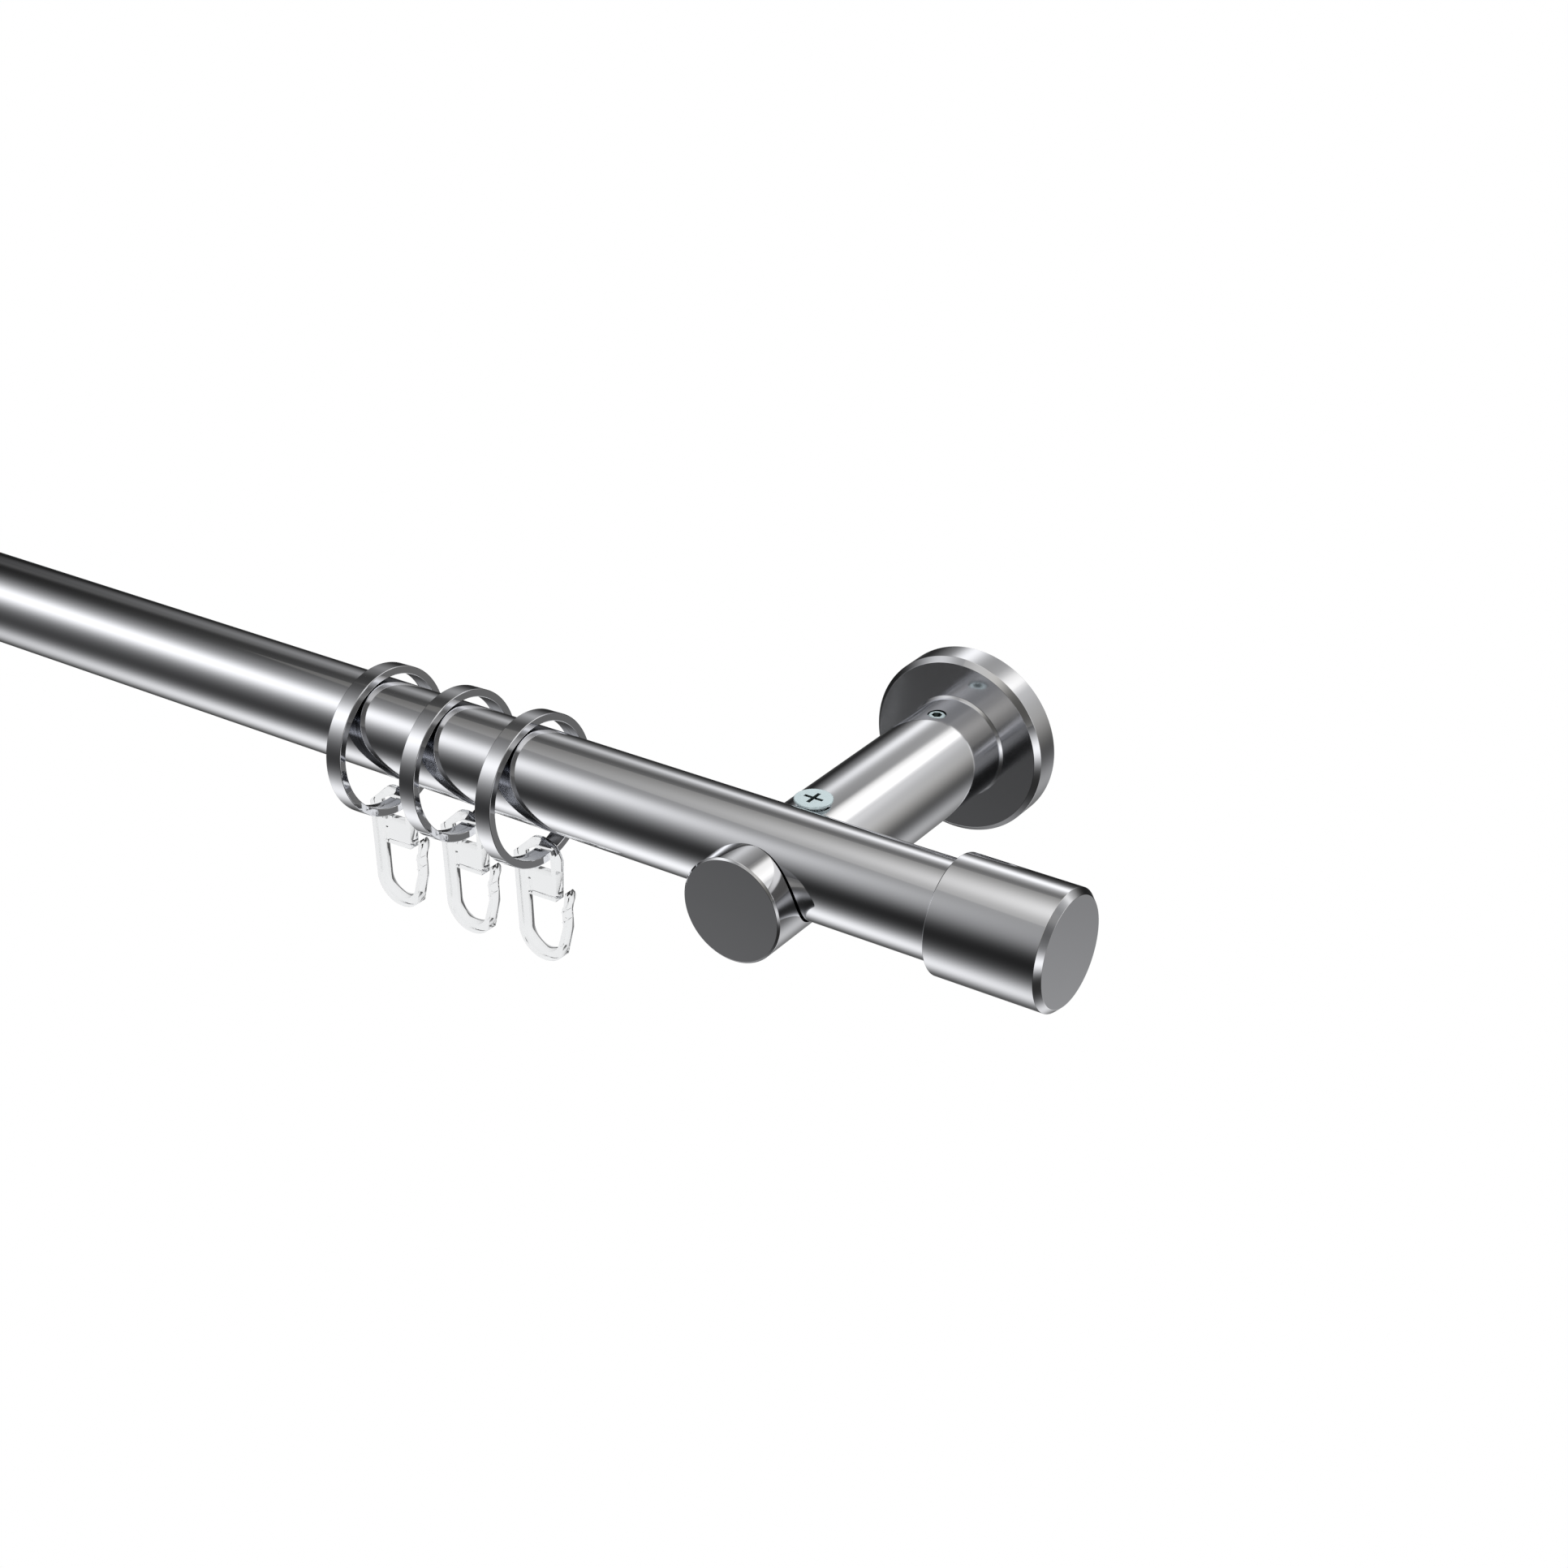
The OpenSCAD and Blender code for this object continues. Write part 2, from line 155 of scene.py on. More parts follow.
def new_material(name: str) -> bpy.types.Material:
    """Makes a material that has no node yet.

    Args:
        name: Its name.

    Returns:
        The material.
    """
    material = bpy.data.materials.new(name)
    material.use_nodes = True
    material.node_tree.nodes.clear()
    return material


@dataclass(frozen=True)
class Surface:
    """What every finish has: roughness that wanders in clouds, and a fine relief.

    Attributes:
        slot: Material slot of the record.
        name: Material name, after the real material.
        colour: sRGB colour of its reflection or body.
        roughness: Middle value of the roughness.
        spread: How far the roughness wanders to each side.
        cloud: Size of the slow changes, in metres.
        grain: Size of the polishing lines or the grain, in metres.
        relief: Height of the grain, in metres.
        stretch: How long clouds and grain are beside their width, along X, Y and Z.
    """

    CLOUD_DETAIL = 3
    GRAIN_DETAIL = 4

    slot: str
    name: str
    colour: str
    roughness: float
    spread: float
    cloud: float
    grain: float
    relief: float
    stretch: tuple[float, float, float] = (1, 1, 1)

    def own_inputs(
        self, tree: bpy.types.NodeTree, cloud: bpy.types.NodeSocket
    ) -> dict[str | int, object]:
        """Gives what the shader gets for this kind of material alone.

        Args:
            tree: The material's tree.
            cloud: The slow noise.

        Returns:
            Values and sockets by the name of the shader's input.
        """
        raise NotImplementedError

    def make(self) -> bpy.types.Material:
        """Builds the node material.

        Returns:
            The material, with its noise in Object coordinates.
        """
        material = new_material(self.name)
        tree = material.node_tree
        spot = add_node(tree, "ShaderNodeTexCoord", (-900, 0))
        mapping = add_node(
            tree, "ShaderNodeMapping", (-700, 0),
            {"Vector": spot.outputs["Object"], "Scale": [1 / s for s in self.stretch]},
        )
        cloud, grain = (
            add_node(
                tree, "ShaderNodeTexNoise", (-450, y),
                {"Vector": mapping.outputs["Vector"], "Scale": 1 / size, "Detail": detail},
            ).outputs["Fac"]
            for y, size, detail in (
                (200, self.cloud, self.CLOUD_DETAIL),
                (-200, self.grain, self.GRAIN_DETAIL),
            )
        )
        rough = add_node(
            tree, "ShaderNodeMapRange", (-150, 100),
            {
                "Value": cloud,
                "From Min": NOISE_RANGE[0],
                "From Max": NOISE_RANGE[1],
                "To Min": self.roughness - self.spread,
                "To Max": self.roughness + self.spread,
            },
        )
        bump = add_node(
            tree, "ShaderNodeBump", (200, -250), {"Height": grain, "Distance": self.relief}
        )
        shader = add_node(
            tree, "ShaderNodeBsdfPrincipled", (600, 0),
            {
                **self.own_inputs(tree, cloud),
                "Roughness": rough.outputs["Result"],
                "Normal": bump.outputs["Normal"],
            },
        )
        add_node(
            tree, "ShaderNodeOutputMaterial", (900, 0), {"Surface": shader.outputs["BSDF"]}
        )
        return material


@dataclass(frozen=True, kw_only=True)
class Metal(Surface):
    """A bare or plated metal.

    Attributes:
        dark: sRGB colour in the thin places and pits of the surface; in the finishes of the
            recesses, holes and ring bores it is part of their painted shade.
        bare: Share of the surface that mirrors as bare metal, 0 to 1.
    """

    dark: str
    bare: float = 1

    def own_inputs(
        self, tree: bpy.types.NodeTree, cloud: bpy.types.NodeSocket
    ) -> dict[str | int, object]:
        """Gives the shader its metal, with a colour that is dark where the clouds are low.

        Args:
            tree: The material's tree.
            cloud: The slow noise.

        Returns:
            Values and sockets by the name of the shader's input.
        """
        share = add_node(
            tree, "ShaderNodeMapRange", (-300, 400),
            {"Value": cloud, "From Min": NOISE_LOWS[0], "From Max": NOISE_LOWS[1]},
        )
        tint = add_node(
            tree, "ShaderNodeMix", (-150, 400),
            {
                "Factor": share.outputs["Result"],
                MIX_A: to_linear(self.dark),
                MIX_B: to_linear(self.colour),
            },
            data_type="RGBA",
        )
        return {"Base Color": tint.outputs[MIX_RESULT], "Metallic": self.bare}


@dataclass(frozen=True, kw_only=True)
class Plastic(Surface):
    """A moulded plastic, clear or filled.

    Attributes:
        clearness: Share of light that passes, 0 to 1.
        bending: Index of refraction.
    """

    CLOUD_DETAIL = 2
    GRAIN_DETAIL = 3

    clearness: float
    bending: float

    def own_inputs(
        self, tree: bpy.types.NodeTree, cloud: bpy.types.NodeSocket
    ) -> dict[str | int, object]:
        """Gives the shader its plastic, which has one colour all over.

        Args:
            tree: The material's tree.
            cloud: The slow noise, which it doesn't use.

        Returns:
            Values by the name of the shader's input.
        """
        return {
            "Base Color": to_linear(self.colour),
            "Transmission Weight": self.clearness,
            "IOR": self.bending,
        }


class Finish(Enum):
    """The finishes of the rod and its fittings."""

    # Nickel-chrome plate on steel, polished: a cool mirror, a little soft across its
    # polishing lines. Real lines are a few microns wide; these are as coarse as shows.
    CHROME = Metal(
        "chrome", "chrome_plate", "ECEDF1", roughness=0.055, spread=0.01, cloud=0.03,
        grain=0.0004, relief=1e-7, stretch=(40, 1, 1), dark="E7E8EC",
    )
    # The same plate on the rosette's turned face: fine rings blur what it mirrors
    TURNED_CHROME = replace(
        CHROME, name="chrome_plate_turned", roughness=0.13, stretch=(1, 40, 1)
    )
    # Rings' bores: chrome painted dark grey with darker lines round the band, as painted shade and
    # a painted reflection of the rod, laid out like turning marks under thin plate
    RING_BORE = replace(
        CHROME, name="chrome_plate_bore", colour="909298", dark="1E1F21", roughness=0.1,
        spread=0.03, cloud=0.0007, grain=0.0003, relief=4e-7, stretch=(1, 60, 60),
    )
    # Blue-passivated zinc plate on the screws: milky and satin, a little bluish
    ZINC = Metal(
        "zinc", "zinc_plate_blue", "DAEBEF", roughness=0.26, spread=0.05, cloud=0.002,
        grain=0.0002, relief=2e-6, dark="CFE1E5", bare=0.4,
    )
    # Painted shade in the screws' recesses: the same plate painted dull dark grey where the recess
    # lies in shade
    DULL_ZINC = replace(
        ZINC, name="zinc_plate_dulled", colour="465254", dark="30393A", roughness=0.5,
        spread=0.1, relief=8e-6, bare=1,
    )
    # Painted shade on the saddle, bores and screw holes, where no plate is: steel painted matt
    # near black so the gap round the rod and the holes look dark
    BLACK_STEEL = Metal(
        "steel", "blackened_steel", "2C2D2F", roughness=0.5, spread=0.08, cloud=0.004,
        grain=0.0003, relief=6e-6, dark="1C1D1E",
    )
    # Bare machined steel of the hidden wall plates and spigots: satin grey, tool lines
    STEEL = Metal(
        "steel", "machined_steel", "A6A9AD", roughness=0.34, spread=0.08, cloud=0.006,
        grain=0.0003, relief=6e-6, stretch=(1, 1, 6), dark="8B8E93",
    )
    # Grey polyethylene of the plugs in the end caps: even, waxy and half matt
    GREY_PLASTIC = Plastic(
        "grey_plastic", "grey_polyethylene", "5C5F64", roughness=0.45, spread=0.08,
        cloud=0.008, grain=0.0004, relief=1e-5, clearness=0, bending=1.51,
    )
    # Clear polycarbonate of the pleat hooks: glassy, faintly grey at its edges. Its real
    # index is 1.58, and 1.2 gives edges as thin and pale as the photograph's.
    CLEAR_PLASTIC = Plastic(
        "clear_plastic", "clear_polycarbonate", "EDEEEF", roughness=0.02, spread=0.01,
        cloud=0.012, grain=0.0006, relief=2e-7, clearness=1, bending=1.2,
    )


@dataclass
class Workshop:
    """Holds the CAD nodes and the made materials, and finishes the pieces.

    Attributes:
        nodes: The CAD nodes by name.
        made: The materials made so far.
    """

    nodes: dict[str, bpy.types.Object]
    made: dict[Finish, bpy.types.Material] = field(default_factory=dict)

    def material(self, finish: Finish) -> bpy.types.Material:
        """Gives the material of a finish, made at its first use.

        Args:
            finish: The finish that is wanted.

        Returns:
            Its material.
        """
        if finish not in self.made:
            self.made[finish] = finish.value.make()
        return self.made[finish]

    def put(
        self, piece: bpy.types.Object, body: str, node: str, *finishes: Finish
    ) -> bpy.types.Object:
        """Dresses a piece, puts it on its body and lets it stand for its CAD node.

        Args:
            piece: The piece.
            body: The body that carries it.
            node: The CAD node that it replaces.
            *finishes: Its finish, and then the ones that single faces get.

        Returns:
            The piece.
        """
        piece.data.materials.clear()
        for finish in finishes:
            piece.data.materials.append(self.material(finish))
        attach(piece, body)
        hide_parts(node)
        return piece

    def merged_copy(self, node: str, name: str) -> bpy.types.Object:
        """Copies a CAD node's mesh into a new piece with its points merged.

        Args:
            node: Name of the CAD node.
            name: Name of the new piece.

        Returns:
            The new piece, at the origin.
        """
        mesh = bmesh.new()
        mesh.from_mesh(self.nodes[node].data)
        bmesh.ops.remove_doubles(mesh, verts=mesh.verts, dist=2e-6)
        bmesh.ops.dissolve_limit(
            mesh, angle_limit=math.radians(0.4), verts=mesh.verts, edges=mesh.edges
        )
        return finish_mesh(name, mesh)


# ---------------------------------------------------------------- mesh tools


def add_object(name: str, data: bpy.types.ID) -> bpy.types.Object:
    """Puts data in the scene as an object.

    Args:
        name: Name of the new object.
        data: Its mesh or camera.

    Returns:
        The object, at the origin.
    """
    made = bpy.data.objects.new(name, data)
    bpy.context.scene.collection.objects.link(made)
    return made


def shade(piece: bpy.types.Object, sharp: float) -> None:
    """Shades a piece smooth, with edges of over so many degrees sharp."""
    piece.data.polygons.foreach_set("use_smooth", [True] * len(piece.data.polygons))
    piece.data.set_sharp_from_angle(angle=math.radians(sharp))


def finish_mesh(name: str, mesh: bmesh.types.BMesh) -> bpy.types.Object:
    """Turns a bmesh into an object, shaded smooth with sharp corners.

    Args:
        name: Name of the new object.
        mesh: The bmesh, which is freed.

    Returns:
        The object, at the origin.
    """
    data = bpy.data.meshes.new(name)
    mesh.to_mesh(data)
    mesh.free()
    piece = add_object(name, data)
    shade(piece, sharp=12)
    return piece


def bake(piece: bpy.types.Object) -> None:
    """Turns a piece's modifiers into plain mesh.

    Args:
        piece: The piece, which keeps its name and loses its modifiers.
    """
    bpy.context.view_layer.update()
    graph = bpy.context.evaluated_depsgraph_get()
    data = bpy.data.meshes.new_from_object(piece.evaluated_get(graph))
    old = piece.data
    piece.modifiers.clear()
    piece.data = data
    bpy.data.meshes.remove(old)
    data.name = piece.name


def cut(piece: bpy.types.Object, tools: list[bpy.types.Object]) -> None:
    """Cuts tools out of a piece and removes them.

    Args:
        piece: The piece that is cut.
        tools: Closed pieces to take away from it.
    """
    for tool in tools:
        step = piece.modifiers.new("cut", "BOOLEAN")
        step.operation = "DIFFERENCE"
        step.solver = "EXACT"
        step.object = tool
        bake(piece)
        bpy.data.objects.remove(tool)


@dataclass(frozen=True)
class Run:
    """One straight run of a turned outline, in millimetres.

    Attributes:
        start: Its first point, as (radius, along).
        start_normal: Outward direction of the surface at its first point.
        end_normal: Outward direction of the surface at its last point.
    """

    start: tuple[float, float]
    start_normal: tuple[float, float]
    end_normal: tuple[float, float]


def runs_of(outline: list[tuple[float, float]], rounding: float, steps: int = 3) -> list[Run]:
    """Splits an outline into runs, with every corner rounded a little.

    Args:
        outline: Corners as (radius, along), in millimetres.
        rounding: How far from each corner the rounding starts, in millimetres.
        steps: Number of runs in each rounding.

    Returns:
        The runs in order. Corners on the axis stay sharp.
    """
    points = [Vector(corner) for corner in outline]
    following = points[1:] + points[:1]
    twice_area = sum(a.x * b.y - b.x * a.y for a, b in zip(points, following))
    way = 1 if twice_area > 0 else -1

    def outward(along: Vector) -> tuple[float, float]:
        """Gives the outward normal of a direction of travel."""
        turned = Vector((along.y, -along.x)).normalized() * way
        return (turned.x, turned.y)

    made: list[Run] = []
    for before, here, after in zip(points[-1:] + points, points, following):
        ahead = outward(after - here)
        reach = min(rounding, (before - here).length / 3, (after - here).length / 3)
        if here.x < NOTHING or reach < NOTHING:
            made.append(Run((here.x, here.y), ahead, ahead))
            continue
        start = here + (before - here).normalized() * reach
        end = here + (after - here).normalized() * reach
        bend = []
        for t in (k / steps for k in range(steps + 1)):
            point = start * (1 - t) ** 2 + here * 2 * t * (1 - t) + end * t**2
            bend.append((point, (here - start) * (1 - t) + (end - here) * t))
        for (point, travel), (_, onward) in zip(bend, bend[1:]):
            made.append(Run((point.x, point.y), outward(travel), outward(onward)))
        made.append(Run((end.x, end.y), ahead, ahead))
    return made


@dataclass(frozen=True)
class Turning:
    """Makes closed pieces that are round about one axis.

    Attributes:
        axis: Which way the axis runs.
        centre: A point on the axis, in millimetres.
        flip: Whether the piece is mirrored to the rod's left end.
        steps: Number of steps round the axis.
    """

    axis: Axis
    centre: tuple[float, float, float]
    flip: bool = False
    steps: int = 160

    def matrix(self) -> Matrix:
        """Gives the matrix from (radius cos, radius sin, along) to the frame.

        Returns:
            The matrix, from millimetres to metres.
        """
        move = Matrix.Translation(Vector(self.centre))
        mirror = Matrix.Scale(-1, 4, Vector((1, 0, 0))) if self.flip else Matrix.Identity(4)
        return Matrix.Scale(MM, 4) @ mirror @ move @ Matrix(self.axis.value).to_4x4()

    def swung(self, pair: tuple[float, float], step: float) -> Vector:
        """Swings a (radial, along) pair to a step round the axis."""
        angle = 2 * math.pi * step / self.steps
        return Vector((pair[0] * math.cos(angle), pair[0] * math.sin(angle), pair[1]))

    def spin(
        self, name: str, outline: list[tuple[float, float]], rounding: float = 0
    ) -> bpy.types.Object:
        """Turns a closed outline about the axis.

        Args:
            name: Name of the new object.
            outline: Corners as (radius, place along the axis), in millimetres.
            rounding: How far from each corner its rounding starts, in millimetres.

        Returns:
            The closed piece, shaded as the true turned surface.
        """
        runs, matrix = runs_of(outline, rounding), self.matrix()
        turned = matrix.to_3x3().inverted().transposed()
        points: list[tuple[float, float, float]] = []
        rows: list[range] = []
        for run in runs:
            many = 1 if run.start[0] < NOTHING else self.steps
            rows.append(range(len(points), len(points) + many))
            points.extend(tuple(matrix @ self.swung(run.start, k)) for k in range(many))
        faces: list[list[int]] = []
        normals: list[list[Vector]] = []
        for run, row, other in zip(runs, rows, rows[1:] + rows[:1]):
            if len(row) == 1 and len(other) == 1:
                continue
            for k in range(self.steps):
                face, shading = [], []
                for ring, step, normal in (
                    (row, k, run.start_normal),
                    (row, k + 1, run.start_normal),
                    (other, k + 1, run.end_normal),
                    (other, k, run.end_normal),
                ):
                    point = ring[step % len(ring)]
                    if point in face:
                        continue
                    swung = self.swung(normal, step if len(ring) > 1 else k + 0.5)
                    face.append(point)
                    shading.append((turned @ swung).normalized())
                faces.append(face)
                normals.append(shading)
        data = bpy.data.meshes.new(name)
        data.from_pydata(points, [], faces)
        if data.polygons[0].normal.dot(normals[0][0]) < 0:
            faces = [face[::-1] for face in faces]
            normals = [shading[::-1] for shading in normals]
            data.clear_geometry()
            data.from_pydata(points, [], faces)
        data.polygons.foreach_set("use_smooth", [True] * len(data.polygons))
        data.normals_split_custom_set([tuple(n) for shading in normals for n in shading])
        return add_object(name, data)

    def drill(self, name: str, radius: float, low: float, high: float) -> bpy.types.Object:
        """Turns a plain round cutting tool that reaches from low to high on the axis."""
        return self.spin(name, [(0, low), (radius, low), (radius, high), (0, high)])


@dataclass(frozen=True)
class TrueSurface:
    """A plane or cylinder that cut faces are shaded as, in millimetres.

    Attributes:
        axis: Direction of the plane's normal or of the cylinder's axis.
        point: A point on the plane or on the axis.
        radius: Radius of the cylinder, or 0 for a plane.
        hollow: Whether the cylinder is a hole.
    """

    axis: tuple[float, float, float]
    point: tuple[float, float, float]
    radius: float = 0
    hollow: bool = False

    def normal(self, place: Vector) -> Vector | None:
        """Gives the surface's normal at a place, or None where it isn't on it.

        Args:
            place: The place, in metres.

        Returns:
            The outward normal.
        """
        axis, off = Vector(self.axis), place / MM - Vector(self.point)
        if not self.radius:
            return axis if abs(off.dot(axis)) < OFF_SURFACE else None
        radial = off - axis * off.dot(axis)
        if abs(radial.length - self.radius) > OFF_SURFACE:
            return None
        return radial.normalized() * (-1 if self.hollow else 1)


def true_normals(piece: bpy.types.Object, surfaces: list[TrueSurface]) -> None:
    """Shades cut faces as the true surfaces that they lie on.

    Args:
        piece: The cut piece, whose second material, a painted shade, goes on the faces of its
            holes.
        surfaces: The surfaces, the first one that fits a face being taken.
    """
    shade(piece, sharp=25)
    data = piece.data
    normals = [Vector(n.vector) for n in data.corner_normals]
    for face in data.polygons:
        corners = [data.vertices[v].co for v in face.vertices]
        for surface in surfaces:
            found = [surface.normal(corner) for corner in corners]
            if None not in found and found[0].dot(face.normal) > FACING:
                for corner, normal in zip(face.loop_indices, found):
                    normals[corner] = normal
                face.material_index = int(surface.hollow)
                break
    data.normals_split_custom_set([tuple(n) for n in normals])


# ---------------------------------------------------------------- the rod


@dataclass
class Rod:
    """The chromed tube, in millimetres, and where its brackets stand."""

    shop: Workshop
    diameter: float = 20
    length: float = 1200
    wall: float = 1
    out: float = 74.7
    rise: float = 4.9
    edge: float = 0.2
    bracket_past: float = 60

    @property
    def centre(self) -> tuple[float, float, float]:
        """Point on the rod's axis, midway between its ends."""
        return (0, -self.out, self.rise)

    def build(self) -> list[bpy.types.Object]:
        """Turns the tube, with its ends eased.

        Returns:
            The tube.
        """
        outer, inner, end = self.diameter / 2, self.diameter / 2 - self.wall, self.length / 2
        outline = [
            (inner, -end),
            (outer - self.edge, -end),
            (outer, self.edge - end),
            (outer, end - self.edge),
            (outer - self.edge, end),
            (inner, end),
        ]
        turning = Turning(Axis.ROD, self.centre, steps=192)
        piece = turning.spin("chrome_tube", outline, rounding=0.05)
        return [self.shop.put(piece, "rod", "rod_tube", Finish.CHROME)]


@dataclass
class Bracket:
    """One wall bracket: arm, rosette, wall plate, spigot and their screws."""

    shop: Workshop
    rod: Rod
    side: Side
    arm: float = 22
    arm_nose: float = 15.7
    arm_bevel: float = 0.4
    arm_foot_gap: float = 0.05
    arm_foot_flare: float = 0.5
    saddle_gap: float = 0.4
    rosette: float = 40
    rosette_depth: float = 6.8
    rosette_chamfer: float = 1.1
    rosette_wall: float = 1.5
    spigot: float = 16
    spigot_gap: float = 0.1
    bore_depth: float = 27.2
    clamp_head: float = 7.8
    clamp_shank: float = 4
    clamp_gap: float = 0.05
    clamp_length: float = 12
    clamp_back: float = 12.6
    clamp_top: float = 11.8
    clamp_tip: float = 0.5
    clamp_band: float = 0.5
    clamp_rim: tuple[float, float] = (0.15, 0.1)
    cone_drop: float = 0.9
    cross: float = 4.4
    cross_width: float = 0.8
    cross_height: float = 1.5
    cross_drop: float = 0.65
    cross_foot: tuple[float, float] = (0.55, 0.8)
    grub: float = 4
    grub_gap: float = 0.02
    grub_chamfer: float = 0.4
    grub_out: float = 15.3
    grub_flush: float = 0.2
    grub_bite: float = 0.95
    socket: float = 2
    socket_depth: float = 2

    @property
    def at(self) -> float:
        """Place of the bracket along the rod."""
        return self.side.value * (self.rod.length / 2 - self.rod.bracket_past)

    @property
    def clamp_y(self) -> float:
        """Place of the clamp screw's axis along Y."""
        return self.clamp_back - self.rod.out

    def turning(self, axis: Axis, y: float = 0, z: float = 0, steps: int = 160) -> Turning:
        """Gives a turning at this bracket, about an axis at y and z."""
        return Turning(axis, (self.at, y, z), steps=steps)

    def put(self, piece: bpy.types.Object, node: str, *finishes: Finish) -> bpy.types.Object:
        """Puts a piece on the rod's body, for this side's node of that name."""
        return self.shop.put(piece, "rod", f"{node}_{self.side.word}", *finishes)

    def build_arm(self) -> bpy.types.Object:
        """Turns the arm and cuts its saddle, bore and screw holes.

        Returns:
            The arm.
        """
        radius, front = self.arm / 2, self.rod.out + self.arm_nose
        foot = self.rosette_depth + self.arm_foot_gap
        outline = [
            (0, foot),
            (radius + self.arm_foot_flare, foot),
            (radius, foot + self.arm_foot_flare),
            (radius, front - self.arm_bevel),
            (radius - self.arm_bevel, front),
            (0, front),
        ]
        piece = self.turning(Axis.WALL, steps=256).spin(
            f"chrome_arm_{self.side.word}", outline, rounding=0.06
        )
        saddle = self.rod.diameter / 2 + self.saddle_gap
        bore = self.spigot / 2 + self.spigot_gap
        shank = self.clamp_shank / 2 + self.clamp_gap
        head = self.clamp_head / 2 + self.clamp_gap
        low, cone_top = self.clamp_top - self.clamp_length - SPARE, self.clamp_top - self.cone_drop
        clamp_hole = [
            (0, low),
            (shank, low),
            (shank, cone_top - (self.clamp_head / 2 - self.clamp_shank / 2)),
            (head, cone_top),
            (head, PAST_CUT),
            (0, PAST_CUT),
        ]
        rod_axis = self.turning(Axis.ROD, -self.rod.out, self.rod.rise, steps=256)
        grub_axis = self.turning(Axis.UP, -self.grub_out)
        tools = [
            rod_axis.drill("saddle", saddle, -PAST_CUT, PAST_CUT),
            self.turning(Axis.WALL).drill("bore", bore, 0, self.bore_depth),
            grub_axis.drill("grub_hole", self.grub / 2, 0, PAST_CUT),
            self.turning(Axis.UP, self.clamp_y).spin("clamp_hole", clamp_hole),
        ]
        cut(piece, tools)
        # The saddle, bore and screw holes get the second material: painted shade in near-black
        # steel
        self.put(piece, "arm", Finish.CHROME, Finish.BLACK_STEEL)
        along, out, up = (1, 0, 0), (0, 1, 0), (0, 0, 1)
        middle, clamp = (self.at, 0, 0), (self.at, self.clamp_y, 0)
        surfaces = [
            TrueSurface((0, -1, 0), (self.at, -front, 0)),
            TrueSurface(out, middle, radius),
            TrueSurface(along, rod_axis.centre, saddle, hollow=True),
            TrueSurface(out, middle, bore, hollow=True),
            TrueSurface(up, grub_axis.centre, self.grub / 2, hollow=True),
            TrueSurface(up, clamp, shank, hollow=True),
            TrueSurface(up, clamp, head, hollow=True),
        ]
        true_normals(piece, surfaces)
        return piece

    def build_rosette(self) -> bpy.types.Object:
        """Turns the rosette, a shallow cup with a turned face.

        Returns:
            The rosette.
        """
        outer, depth = self.rosette / 2, self.rosette_depth
        hole, wall = self.spigot / 2 + self.spigot_gap, self.rosette_wall
        outline = [
            (outer - wall, 0),
            (outer, 0),
            (outer, depth - self.rosette_chamfer),
            (outer - self.rosette_chamfer, depth),
            (hole, depth),
            (hole, depth - wall),
            (outer - wall, depth - wall),
        ]
        piece = self.turning(Axis.WALL, steps=224).spin(
            f"chrome_rosette_{self.side.word}", outline, rounding=0.06
        )
        self.put(piece, "rosette", Finish.CHROME, Finish.TURNED_CHROME)
        for face in piece.data.polygons:
            face.material_index = int(face.normal.y < -STRAIGHT)
        return piece

    def build_clamp_screw(self) -> bpy.types.Object:
        """Turns the clamp screw and cuts its cross.

        Returns:
            The screw.
        """
        shank, head, top = self.clamp_shank / 2, self.clamp_head / 2, self.clamp_top
        low, band = top - self.clamp_length, top - self.clamp_band
        outline = [
            (0, low),
            (shank - self.clamp_tip, low),
            (shank, low + self.clamp_tip),
            (shank, band - (head - shank)),
            (head, band),
            (head, top - self.clamp_rim[1]),
            (head - self.clamp_rim[0], top),
            (0, top),
        ]
        piece = self.turning(Axis.UP, self.clamp_y).spin(
            f"zinc_clamp_screw_{self.side.word}", outline, rounding=0.05
        )
        cut(piece, [self.cross_bar(turn) for turn in (0, 90)])
        # The cross gets the second material: painted shade in dull dark zinc
        self.put(piece, "clamp_screw", Finish.ZINC, Finish.DULL_ZINC)
        depth = self.cross_drop + self.cross_height / 2
        self.dull_recess(piece, self.clamp_y, self.cross / 2, top, depth)
        return piece

    def cross_bar(self, turn: float) -> bpy.types.Object:
        """Makes one bar of the tool that cuts the cross, narrower at its foot.

        Args:
            turn: How far it is turned about the screw, in degrees.

        Returns:
            The bar.
        """
        mesh = bmesh.new()
        bmesh.ops.create_cube(mesh, size=1)
        for v in mesh.verts:
            long, wide = self.cross_foot if v.co.z < 0 else (1, 1)
            v.co = (
                v.co.x * self.cross * long,
                v.co.y * self.cross_width * wide,
                v.co.z * self.cross_height,
            )
        place = (
            Matrix.Scale(MM, 4)
            @ Matrix.Translation((self.at, self.clamp_y, self.clamp_top - self.cross_drop))
            @ Matrix.Rotation(math.radians(turn), 4, "Z")
        )
        bmesh.ops.transform(mesh, matrix=place, verts=mesh.verts)
        return finish_mesh("cross_bar", mesh)

